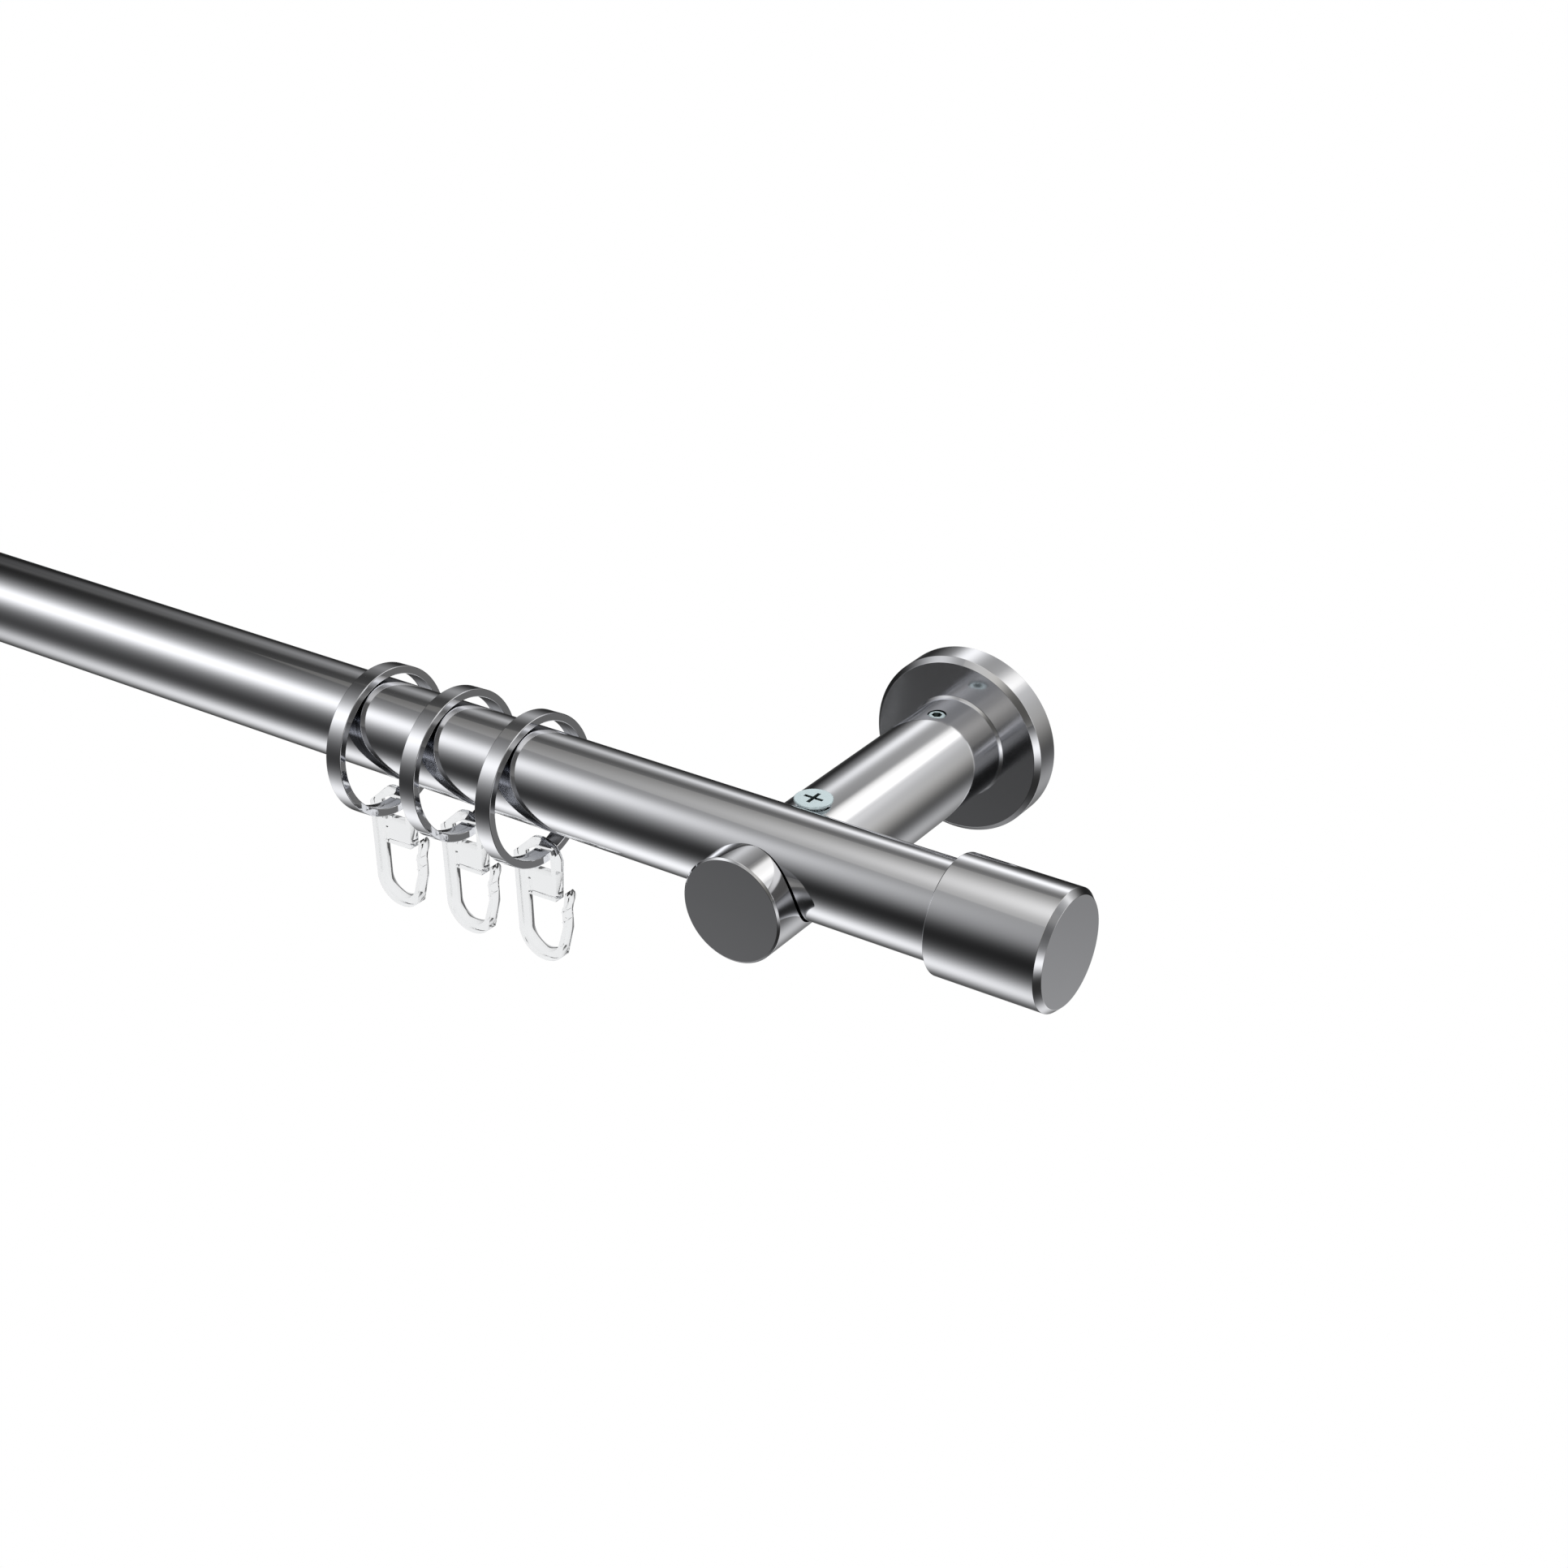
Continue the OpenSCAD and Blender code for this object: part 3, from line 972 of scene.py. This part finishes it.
    def build_grub_screw(self) -> bpy.types.Object:
        """Turns the grub screw and cuts its hexagon socket, turned by half a side.

        Returns:
            The screw.
        """
        radius, top = self.grub / 2, self.arm / 2 - self.grub_flush
        foot, ease = self.spigot / 2 - self.grub_bite, self.grub_chamfer
        outline = [
            (0, foot),
            (radius - ease, foot),
            (radius - self.grub_gap, foot + ease),
            (radius - self.grub_gap, top - ease),
            (radius - ease, top),
            (0, top),
        ]
        piece = self.turning(Axis.UP, -self.grub_out, steps=96).spin(
            f"zinc_grub_screw_{self.side.word}", outline, rounding=0.05
        )
        corner = self.socket / 2 / math.cos(math.pi / 6)
        socket = self.turning(Axis.UP, -self.grub_out, steps=6).drill(
            "socket", corner, top - self.socket_depth, top + SPARE
        )
        about = Matrix.Translation((self.at * MM, -self.grub_out * MM, 0))
        turn = Matrix.Rotation(math.radians(30), 4, "Z")
        socket.data.transform(about @ turn @ about.inverted())
        cut(piece, [socket])
        # The socket gets the second material: painted shade in dull dark zinc
        self.put(piece, "grub_screw", Finish.ZINC, Finish.DULL_ZINC)
        self.dull_recess(piece, -self.grub_out, corner, top, self.socket_depth)
        return piece

    def dull_recess(
        self, piece: bpy.types.Object, y: float, radius: float, top: float, depth: float
    ) -> None:
        """Flattens a screw's top and gives its recess the second material, a painted shade of dull
        dark zinc.

        Args:
            piece: The screw.
            y: Place of the screw's axis along Y, in millimetres.
            radius: Reach of the recess.
            top: Height of the screw's top.
            depth: Depth of the recess.
        """
        true_normals(piece, [TrueSurface((0, 0, 1), (self.at, y, top))])
        margin, skin = 0.1, 0.01
        for face in piece.data.polygons:
            middle = face.center / MM
            off = math.hypot(middle.x - self.at, middle.y - y)
            if off < radius + margin and top - depth - margin < middle.z < top - skin:
                face.material_index = 1

    def build(self) -> list[bpy.types.Object]:
        """Builds every piece of the bracket.

        Returns:
            The pieces, the hidden ones behind the rosette last.
        """
        pieces = [
            self.build_arm(),
            self.build_rosette(),
            self.build_clamp_screw(),
            self.build_grub_screw(),
        ]
        for node, finish in (
            ("wall_plate", Finish.STEEL),
            ("spigot", Finish.STEEL),
            ("spigot_screw", Finish.ZINC),
        ):
            name = f"{node}_{self.side.word}"
            piece = self.shop.merged_copy(name, f"{finish.value.slot}_{name}")
            pieces.append(self.put(piece, node, finish))
        return pieces


@dataclass
class EndCap:
    """One end cap: a blind sleeve with a lipped plastic plug in it."""

    shop: Workshop
    rod: Rod
    side: Side
    diameter: float = 24
    length: float = 24
    bevel: float = 1.15
    rim_bevel: float = 0.2
    face: float = 3
    gap: float = 0.5
    bore_gap: float = 0.1
    stud: float = 8
    stud_hole: float = 1.55

    def build(self) -> list[bpy.types.Object]:
        """Turns the sleeve and dresses the plug, whose stud goes into the sleeve's floor.

        Returns:
            The sleeve and the plug.
        """
        word, outer = self.side.word, self.diameter / 2
        bore, floor = self.rod.diameter / 2 + self.bore_gap, self.rod.length / 2 + self.gap
        end = floor + self.face
        outline = [
            (bore, end - self.length),
            (outer - self.rim_bevel, end - self.length),
            (outer, end - self.length + self.rim_bevel),
            (outer, end - self.bevel),
            (outer - self.bevel, end),
            (0, end),
            (0, floor + self.stud_hole),
            (self.stud / 2, floor + self.stud_hole),
            (self.stud / 2, floor),
            (bore, floor),
        ]
        turning = Turning(Axis.ROD, self.rod.centre, flip=self.side is Side.LEFT, steps=192)
        sleeve = turning.spin(f"chrome_end_cap_{word}", outline, rounding=0.06)
        plug = self.shop.merged_copy(f"cap_plug_{word}", f"grey_cap_plug_{word}")
        return [
            self.shop.put(sleeve, f"cap_{word}", f"end_cap_{word}", Finish.CHROME),
            self.shop.put(plug, f"cap_{word}", f"cap_plug_{word}", Finish.GREY_PLASTIC),
        ]


# ---------------------------------------------------------------- rings and hooks


@dataclass
class RingSet:
    """The rings on the rod, swept by one geometry node tree, and their hooks."""

    shop: Workshop
    rod: Rod
    count: int = 3
    bore: float = 29.6
    wall: float = 1.7
    width: float = 4
    edge: float = 0.15
    first: float = 61.1
    pitch: float = 20.1
    swing: float = 17.9
    lean: float = 1.7
    play: float = 0.15
    hook_edge: float = 0.05

    def centre(self, index: int) -> Vector:
        """Gives the centre of a ring as it hangs on the rod.

        Args:
            index: Number of the ring from the right bracket, from 0.

        Returns:
            The centre, in metres.
        """
        rod, turn = self.rod, math.radians(self.swing)
        hang = self.bore / 2 - rod.diameter / 2 - self.play
        x = rod.length / 2 - rod.bracket_past - self.first - index * self.pitch
        return Vector((x, hang * math.sin(turn) - rod.out, rod.rise - hang * math.cos(turn))) * MM

    def band_tree(self) -> bpy.types.NodeTree:
        """Builds the tree that sweeps a band's section round its circle.

        Returns:
            The tree, with its sizes as named inputs.
        """
        tree = bpy.data.node_groups.new("band_ring", "GeometryNodeTree")
        for name, kind in (
            ("Geometry", "Geometry"),
            ("Middle Radius", "Float"),
            ("Wall", "Float"),
            ("Width", "Float"),
            ("Edge Radius", "Float"),
            ("Lean", "Float"),
            ("Centre", "Vector"),
            ("Finish", "Material"),
        ):
            tree.interface.new_socket(name, in_out="INPUT", socket_type=f"NodeSocket{kind}")
        tree.interface.new_socket("Geometry", in_out="OUTPUT", socket_type="NodeSocketGeometry")
        given = add_node(tree, "NodeGroupInput", (-900, 0)).outputs
        circle = add_node(
            tree, "GeometryNodeCurvePrimitiveCircle", (-600, 200),
            {"Radius": given["Middle Radius"], "Resolution": 256}, mode="RADIUS",
        )
        section = add_node(
            tree, "GeometryNodeCurvePrimitiveQuadrilateral", (-600, -100),
            {"Width": given["Wall"], "Height": given["Width"]},
        )
        fillet = add_node(
            tree, "GeometryNodeFilletCurve", (-350, -100),
            {"Curve": section.outputs["Curve"], "Radius": given["Edge Radius"], "Count": 4},
            mode="POLY",
        )
        band = add_node(
            tree, "GeometryNodeCurveToMesh", (-100, 0),
            {"Curve": circle.outputs["Curve"], "Profile Curve": fillet.outputs["Curve"]},
        )
        quarter = add_node(
            tree, "ShaderNodeMath", (-300, -350), {0: math.pi / 2, 1: given["Lean"]},
            operation="SUBTRACT",
        )
        turn = add_node(
            tree, "ShaderNodeCombineXYZ", (-100, -250), {"Y": quarter.outputs["Value"]}
        )
        place = add_node(
            tree, "GeometryNodeTransform", (150, 0),
            {
                "Geometry": band.outputs["Mesh"],
                "Rotation": turn.outputs["Vector"],
                "Translation": given["Centre"],
            },
        )
        real = add_node(
            tree, "GeometryNodeRealizeInstances", (350, 0),
            {"Geometry": place.outputs["Geometry"]},
        )
        dress = add_node(
            tree, "GeometryNodeSetMaterial", (550, 0),
            {"Geometry": real.outputs["Geometry"], "Material": given["Finish"]},
        )
        add_node(tree, "NodeGroupOutput", (750, 0), {"Geometry": dress.outputs["Geometry"]})
        return tree

    def build_ring(self, index: int, tree: bpy.types.NodeTree) -> bpy.types.Object:
        """Sweeps one ring.

        Args:
            index: Number of the ring from the right bracket, from 0.
            tree: The band's tree.

        Returns:
            The ring.
        """
        name = f"ring_{index + 1}"
        piece = add_object(f"chrome_{name}", bpy.data.meshes.new(f"chrome_{name}"))
        step = piece.modifiers.new("band", "NODES")
        step.node_group = tree
        values = {
            "Middle Radius": (self.bore / 2 + self.wall / 2) * MM,
            "Wall": self.wall * MM,
            "Width": self.width * MM,
            "Edge Radius": self.edge * MM,
            "Lean": math.radians(self.lean),
            "Centre": self.centre(index),
            "Finish": self.shop.material(Finish.CHROME),
        }
        for item in tree.interface.items_tree:
            if item.in_out == "INPUT" and item.name in values:
                step[item.identifier] = values[item.name]
        bake(piece)
        shade(piece, sharp=8)
        self.shop.put(piece, name, name, Finish.CHROME, Finish.RING_BORE)
        # The faces of the bore look at the ring's centre, from nearly a radius away, and get its
        # painted shade and painted reflection
        inwards = 0.9 * self.bore / 2 * MM
        for face in piece.data.polygons:
            off = face.center - self.centre(index)
            face.material_index = int(face.normal.dot(off) < -inwards)
        return piece

    def build_hook(self, index: int) -> bpy.types.Object:
        """Copies the hook's outline and rounds its moulded edges.

        Args:
            index: Number of the ring from the right bracket, from 0.

        Returns:
            The hook.
        """
        name = f"hook_{index + 1}"
        piece = self.shop.merged_copy(name, f"clear_{name}")
        step = piece.modifiers.new("edge", "BEVEL")
        step.width = self.hook_edge * MM
        step.segments = 2
        step.limit_method = "ANGLE"
        step.angle_limit = math.radians(50)
        step.harden_normals = False
        bake(piece)
        shade(piece, sharp=40)
        return self.shop.put(piece, name, name, Finish.CLEAR_PLASTIC)

    def build(self) -> list[bpy.types.Object]:
        """Builds every ring and hook.

        Returns:
            The pieces, each ring before its hook.
        """
        tree = self.band_tree()
        pieces = []
        for index in range(self.count):
            pieces += [self.build_ring(index, tree), self.build_hook(index)]
        return pieces


# ---------------------------------------------------------------- studio


@dataclass(frozen=True)
class Light:
    """A light of the studio, seen only as a direction.

    Attributes:
        name: What the light is.
        bearing: Where it stands round the rod, 0 in the room and 90 on the right, in degrees.
        height: How high it stands, in degrees.
        turn: How far it is turned about its own direction, in degrees.
        level: Brightness at its middle.
        warmth: How much warmer its light is than the cool softboxes', 0 to 1.
    """

    name: str
    bearing: float
    height: float
    turn: float
    level: float
    warmth: float

    def axes(self) -> tuple[Vector, Vector, Vector]:
        """Gives the light's own three directions.

        Returns:
            Its direction, and the ones across and up it.
        """
        angles = (self.bearing, self.height, self.turn)
        bearing, height, turn = (math.radians(v) for v in angles)
        x, y = math.sin(bearing) * math.cos(height), -math.cos(bearing) * math.cos(height)
        middle = Vector((x, y, math.sin(height)))
        across = Vector((0, 0, 1)).cross(middle).normalized()
        up = middle.cross(across)
        c, s = math.cos(turn), math.sin(turn)
        return middle, across * c + up * s, up * c - across * s

    def shape(
        self, tree: bpy.types.NodeTree, place: bpy.types.NodeSocket, row: float
    ) -> bpy.types.NodeSocket:
        """Draws the light's shape.

        Args:
            tree: The world's tree.
            place: The socket that gives the direction.
            row: Height in the editor.

        Returns:
            The share of its level in each direction.
        """
        raise NotImplementedError

    def add_to(
        self,
        tree: bpy.types.NodeTree,
        total: bpy.types.NodeSocket | tuple[float, float, float],
        place: bpy.types.NodeSocket,
        row: float,
    ) -> bpy.types.NodeSocket:
        """Adds the light in its tint to what is there.

        Args:
            tree: The world's tree.
            total: The light so far.
            place: The socket that gives the direction.
            row: Height in the editor.

        Returns:
            Their sum, as a colour.
        """
        level = add_node(
            tree, "ShaderNodeMath", (-100, row),
            {0: self.shape(tree, place, row), 1: self.level},
            operation="MULTIPLY", label=self.name,
        )
        tint = [1 + more * self.warmth for more in WARM]
        return add_node(
            tree, "ShaderNodeVectorMath", (300, row),
            {0: level.outputs["Value"], 1: tint, 2: total}, operation="MULTIPLY_ADD",
        ).outputs["Vector"]


@dataclass(frozen=True)
class SoftLight(Light):
    """A soft light, which fades out to all sides.

    Attributes:
        wide: Sine of its reach to the half-bright line across, over 1 for a wash.
        high: The same up and down.
    """

    # Cosine to its direction at which it has faded out behind its own side
    FADED = -0.25

    wide: float
    high: float

    def shape(
        self, tree: bpy.types.NodeTree, place: bpy.types.NodeSocket, row: float
    ) -> bpy.types.NodeSocket:
        """Draws a bell that halves at its reach, on the light's own side alone.

        Args:
            tree: The world's tree.
            place: The socket that gives the direction.
            row: Height in the editor.

        Returns:
            The share of its level in each direction.
        """
        middle, across, up = self.axes()
        squares = 0.0
        for k, axis in enumerate((across / self.wide, up / self.high)):
            off = add_node(
                tree, "ShaderNodeVectorMath", (-1300, row - k * 150), {0: place, 1: axis},
                operation="DOT_PRODUCT",
            ).outputs["Value"]
            squares = add_node(
                tree, "ShaderNodeMath", (-1100, row - k * 150), {0: off, 1: off, 2: squares},
                operation="MULTIPLY_ADD",
            ).outputs["Value"]
        bell = add_node(
            tree, "ShaderNodeMath", (-700, row), {0: 0.5, 1: squares}, operation="POWER"
        )
        ahead = add_node(
            tree, "ShaderNodeVectorMath", (-900, row - 200), {0: place, 1: middle},
            operation="DOT_PRODUCT",
        )
        front = add_node(
            tree, "ShaderNodeMapRange", (-700, row - 200),
            {"Value": ahead.outputs["Value"], "From Min": self.FADED, "From Max": 0},
            interpolation_type="SMOOTHSTEP",
        )
        return add_node(
            tree, "ShaderNodeMath", (-300, row),
            {0: bell.outputs["Value"], 1: front.outputs["Result"]}, operation="MULTIPLY",
        ).outputs["Value"]


@dataclass(frozen=True)
class Panel(Light):
    """A flat light panel over the rod, with an edge. Its reaches are tangents.

    Attributes:
        left: Reach to the left.
        right: Reach to the right.
        near: Reach downwards.
        far: Reach upwards.
        edge: Width of its edge.
    """

    left: float
    right: float
    near: float
    far: float
    edge: float

    def shape(
        self, tree: bpy.types.NodeTree, place: bpy.types.NodeSocket, row: float
    ) -> bpy.types.NodeSocket:
        """Draws the panel, with one smooth step for each of its four sides.

        Args:
            tree: The world's tree.
            place: The socket that gives the direction.
            row: Height in the editor.

        Returns:
            The share of its level in each direction.
        """
        middle, across, up = self.axes()
        depth = add_node(
            tree, "ShaderNodeVectorMath", (-1300, row), {0: place, 1: middle},
            operation="DOT_PRODUCT",
        )
        # Just over nothing, so that no direction divides by it
        ahead = add_node(
            tree, "ShaderNodeMath", (-1100, row), {0: depth.outputs["Value"], 1: 0.001},
            operation="MAXIMUM",
        )
        share = 1.0
        for axis, low, high in ((across, self.left, self.right), (up, self.near, self.far)):
            row -= 200
            off = add_node(
                tree, "ShaderNodeVectorMath", (-1300, row), {0: place, 1: axis},
                operation="DOT_PRODUCT",
            )
            slope = add_node(
                tree, "ShaderNodeMath", (-900, row),
                {0: off.outputs["Value"], 1: ahead.outputs["Value"]}, operation="DIVIDE",
            )
            for sign, reach in ((-1, low), (1, high)):
                step = add_node(
                    tree, "ShaderNodeMapRange", (-600, row - sign * 80),
                    {
                        "Value": slope.outputs["Value"],
                        "From Min": sign * (reach + self.edge / 2),
                        "From Max": sign * (reach - self.edge / 2),
                    },
                    interpolation_type="SMOOTHSTEP",
                )
                share = add_node(
                    tree, "ShaderNodeMath", (-300, row - sign * 80),
                    {0: share, 1: step.outputs["Result"]}, operation="MULTIPLY",
                ).outputs["Value"]
        return share


@dataclass
class Studio:
    """Camera, floor and the light round the rod.

    Attributes:
        ambient: Level of the dark flags round the rod.
        lights: Each with its name, bearing, height, turn, level and warmth, and then wide
            and high of a soft light, or left, right, near, far and edge of a panel.
        dark_from: How far towards the wall a direction may point, as a cosine, and still
            be on the studio's dark side.
        camera_at: Place of the camera, in metres.
        camera_right: The camera's own direction to its right.
        camera_up: The same upwards.
        camera_back: The same backwards.
        lens: Its focal length on a 36 mm wide sensor, in millimetres.
        floor_drop: How far the floor lies under the rod, in metres.
        floor_half: Half the floor's width, in metres.
    """

    ambient: float = 0.006
    lights: tuple[Light, ...] = (
        SoftLight("front_left_softbox", -55, 30, -29, 1.3, 0, 0.225, 0.251),
        SoftLight("low_left_softbox", -69, -55, 18, 1, 0, 0.321, 0.261),
        SoftLight("back_left_softbox", -156, 25, 8, 0.98, 0, 0.202, 0.125),
        SoftLight("back_right_wash", 124, -3, -48, 0.51, 0.7, 0.221, 0.407),
        SoftLight("low_back_bounce", 150, -57, -15, 0.98, 0, 0.285, 0.318),
        SoftLight("low_back_glow", -151, -34, 30, 0.18, 0, 0.392, 0.164),
        SoftLight("top_left_softbox", -66, 76, -8, 0.95, 0.3, 0.423, 0.214),
        SoftLight("front_glow", -24, 26, 47, 0.16, 0, 0.518, 0.201),
        SoftLight("back_strip", 157, 34, 21, 0.31, 0.3, 0.563, 0.079),
        SoftLight("right_wash", 122, 23, 16, 0.51, 0, 0.782, 0.193),
        SoftLight("right_softbox", 61, -10, 45, 0.93, 0, 0.144, 0.214),
        SoftLight("high_right_softbox", 116, 19, 70, 0.74, 0, 0.124, 0.247),
        SoftLight("left_wash", -75, 8, -86, 0.13, 0, 1.37, 0.174),
        SoftLight("left_strip", -77, 3, -82, 0.18, 0, 0.167, 0.086),
        SoftLight("front_right_strip", 23, 41, -71, 0.37, 1, 0.383, 0.111),
        Panel("ceiling_panel", 103.3, 77.4, 108.7, 0.0833, 1, 0.933, 1.04, 1.01, 3.18, 0.029),
        Panel("back_top_panel", 119.6, 56.7, -20.2, 0.748, 0.5, 0.534, 0.781, 0.117, 0.353, 0.24),
    )
    dark_from: float = -0.2
    camera_at: tuple[float, float, float] = (0.77473, -0.42280, 0.24090)
    camera_right: tuple[float, float, float] = (0.82997, 0.55780, 0.00273)
    camera_up: tuple[float, float, float] = (-0.26146, 0.38470, 0.88524)
    camera_back: tuple[float, float, float] = (0.49273, -0.73544, 0.46513)
    lens: float = 57.59
    floor_drop: float = 1.6
    floor_half: float = 30

    def build_camera(self) -> None:
        """Places the camera where the photograph was taken from."""
        data = bpy.data.cameras.new("camera")
        data.lens = self.lens
        data.sensor_width = 36
        data.clip_start = 0.01
        data.clip_end = 100
        camera = add_object("camera", data)
        axes = Matrix((self.camera_right, self.camera_up, self.camera_back)).transposed()
        camera.matrix_world = Matrix.Translation(self.camera_at) @ axes.to_4x4()
        bpy.context.scene.camera = camera

    def build_floor(self) -> None:
        """Lays the plain pale floor well under the rod."""
        mesh = bmesh.new()
        bmesh.ops.create_grid(mesh, x_segments=8, y_segments=8, size=self.floor_half)
        bmesh.ops.translate(mesh, verts=mesh.verts, vec=(0, 0, -self.floor_drop))
        floor = finish_mesh("studio_floor", mesh)
        floor.data.materials.append(self.floor_material())

    def floor_material(self) -> bpy.types.Material:
        """Makes the floor's matt white, which is the photograph's ground.

        It is plain white where the camera sees it, and clear for the rays that chrome
        mirrors, which go on to the studio below it. Other rays meet a matt floor.

        Returns:
            The material.
        """
        material = new_material("matt_white_floor")
        tree = material.node_tree
        path = add_node(tree, "ShaderNodeLightPath", (-600, 200))
        spot = add_node(tree, "ShaderNodeTexCoord", (-1000, 400))
        through = self.seen_through(tree, path, spot.outputs["Object"])
        seen = add_node(
            tree, "ShaderNodeMath", (-350, 200),
            {0: path.outputs["Is Camera Ray"], 1: through}, operation="MAXIMUM",
        )
        white = add_node(
            tree, "ShaderNodeEmission", (-350, 0), {"Color": WHITE, "Strength": 1}
        )
        matt = add_node(
            tree, "ShaderNodeBsdfDiffuse", (-350, -150), {"Color": to_linear("E4E4E2")}
        )
        clear = add_node(tree, "ShaderNodeBsdfTransparent", (-350, -300))
        mirror = add_node(
            tree, "ShaderNodeMixShader", (-50, -150),
            {0: path.outputs["Is Glossy Ray"], 1: matt.outputs[0], 2: clear.outputs[0]},
        )
        mix = add_node(
            tree, "ShaderNodeMixShader", (300, 0),
            {0: seen.outputs["Value"], 1: mirror.outputs[0], 2: white.outputs[0]},
        )
        add_node(tree, "ShaderNodeOutputMaterial", (600, 0), {"Surface": mix.outputs[0]})
        return material

    def seen_through(
        self, tree: bpy.types.NodeTree, path: bpy.types.Node, place: bpy.types.NodeSocket
    ) -> bpy.types.NodeSocket:
        """Tells the rays that come through the clear hooks from the ones that chrome mirrors.

        Args:
            tree: The tree it is drawn in.
            path: The Light Path node.
            place: Where the ray ends.

        Returns:
            1 for a transmission ray on which nothing was mirrored or which ends away from
            the dark side of the studio, or else 0.
        """
        x, y = path.location
        # A glossy depth below a half is none
        unmirrored = add_node(
            tree, "ShaderNodeMath", (x + 200, y + 350),
            {0: path.outputs["Glossy Depth"], 1: 0.5}, operation="LESS_THAN",
        )
        way = add_node(
            tree, "ShaderNodeVectorMath", (x - 200, y + 350), {0: place},
            operation="NORMALIZE",
        )
        to_wall = add_node(
            tree, "ShaderNodeVectorMath", (x, y + 550),
            {0: way.outputs["Vector"], 1: (0, 1, 0)}, operation="DOT_PRODUCT",
        )
        away = add_node(
            tree, "ShaderNodeMath", (x + 200, y + 550),
            {0: to_wall.outputs["Value"], 1: self.dark_from}, operation="GREATER_THAN",
        )
        lit = add_node(
            tree, "ShaderNodeMath", (x + 400, y + 450),
            {0: unmirrored.outputs["Value"], 1: away.outputs["Value"]}, operation="MAXIMUM",
        )
        return add_node(
            tree, "ShaderNodeMath", (x + 600, y + 350),
            {0: path.outputs["Is Transmission Ray"], 1: lit.outputs["Value"]},
            operation="MULTIPLY",
        ).outputs["Value"]

    def build_world(self) -> None:
        """Draws the studio round the rod as a function of direction.

        The ground is white for camera rays and for rays through the clear hooks. In front of
        it, for glossy rays, stand the studio's black flags and soft lights, because the
        chrome of the photograph mirrors dark bands and not the ground.
        """
        world = bpy.data.worlds.new("studio")
        bpy.context.scene.world = world
        world.use_nodes = True
        world.cycles.sampling_method = "NONE"
        tree = world.node_tree
        tree.nodes.clear()
        place = add_node(tree, "ShaderNodeTexCoord", (-1600, 0)).outputs["Generated"]
        total = (self.ambient,) * 3
        for row, light in enumerate(self.lights):
            total = light.add_to(tree, total, place, -row * 600)
        path = add_node(tree, "ShaderNodeLightPath", (600, 400))
        mirrored = add_node(
            tree, "ShaderNodeMath", (800, 300),
            {0: path.outputs["Is Glossy Ray"], 1: self.seen_through(tree, path, place)},
            operation="SUBTRACT", use_clamp=True,
        )
        mix = add_node(
            tree, "ShaderNodeMix", (1000, 0),
            {"Factor": mirrored.outputs["Value"], MIX_A: WHITE, MIX_B: total},
            data_type="RGBA",
        )
        ground = add_node(
            tree, "ShaderNodeBackground", (1300, 0),
            {"Color": mix.outputs[MIX_RESULT], "Strength": 1},
        )
        add_node(
            tree, "ShaderNodeOutputWorld", (1600, 0), {"Surface": ground.outputs["Background"]}
        )

    def build(self) -> None:
        """Sets up the camera, floor, world and view."""
        self.build_camera()
        self.build_floor()
        self.build_world()
        bpy.context.scene.view_settings.view_transform = "Standard"


def main() -> None:
    """Builds the rod, its brackets, end caps, rings and hooks, and the studio."""
    logging.basicConfig(level=logging.INFO, format="%(name)s: %(message)s")
    for left_over in list(bpy.data.objects):
        bpy.data.objects.remove(left_over)
    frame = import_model()
    shop = Workshop(frame["nodes"])
    rod = Rod(shop)
    fittings = [kind(shop, rod, side) for side in Side for kind in (Bracket, EndCap)]
    for assembly in (rod, *fittings, RingSet(shop, rod)):
        for piece in assembly.build():
            LOG.info("built %s", piece.name)
    Studio().build()


if __name__ == "__main__":
    main()
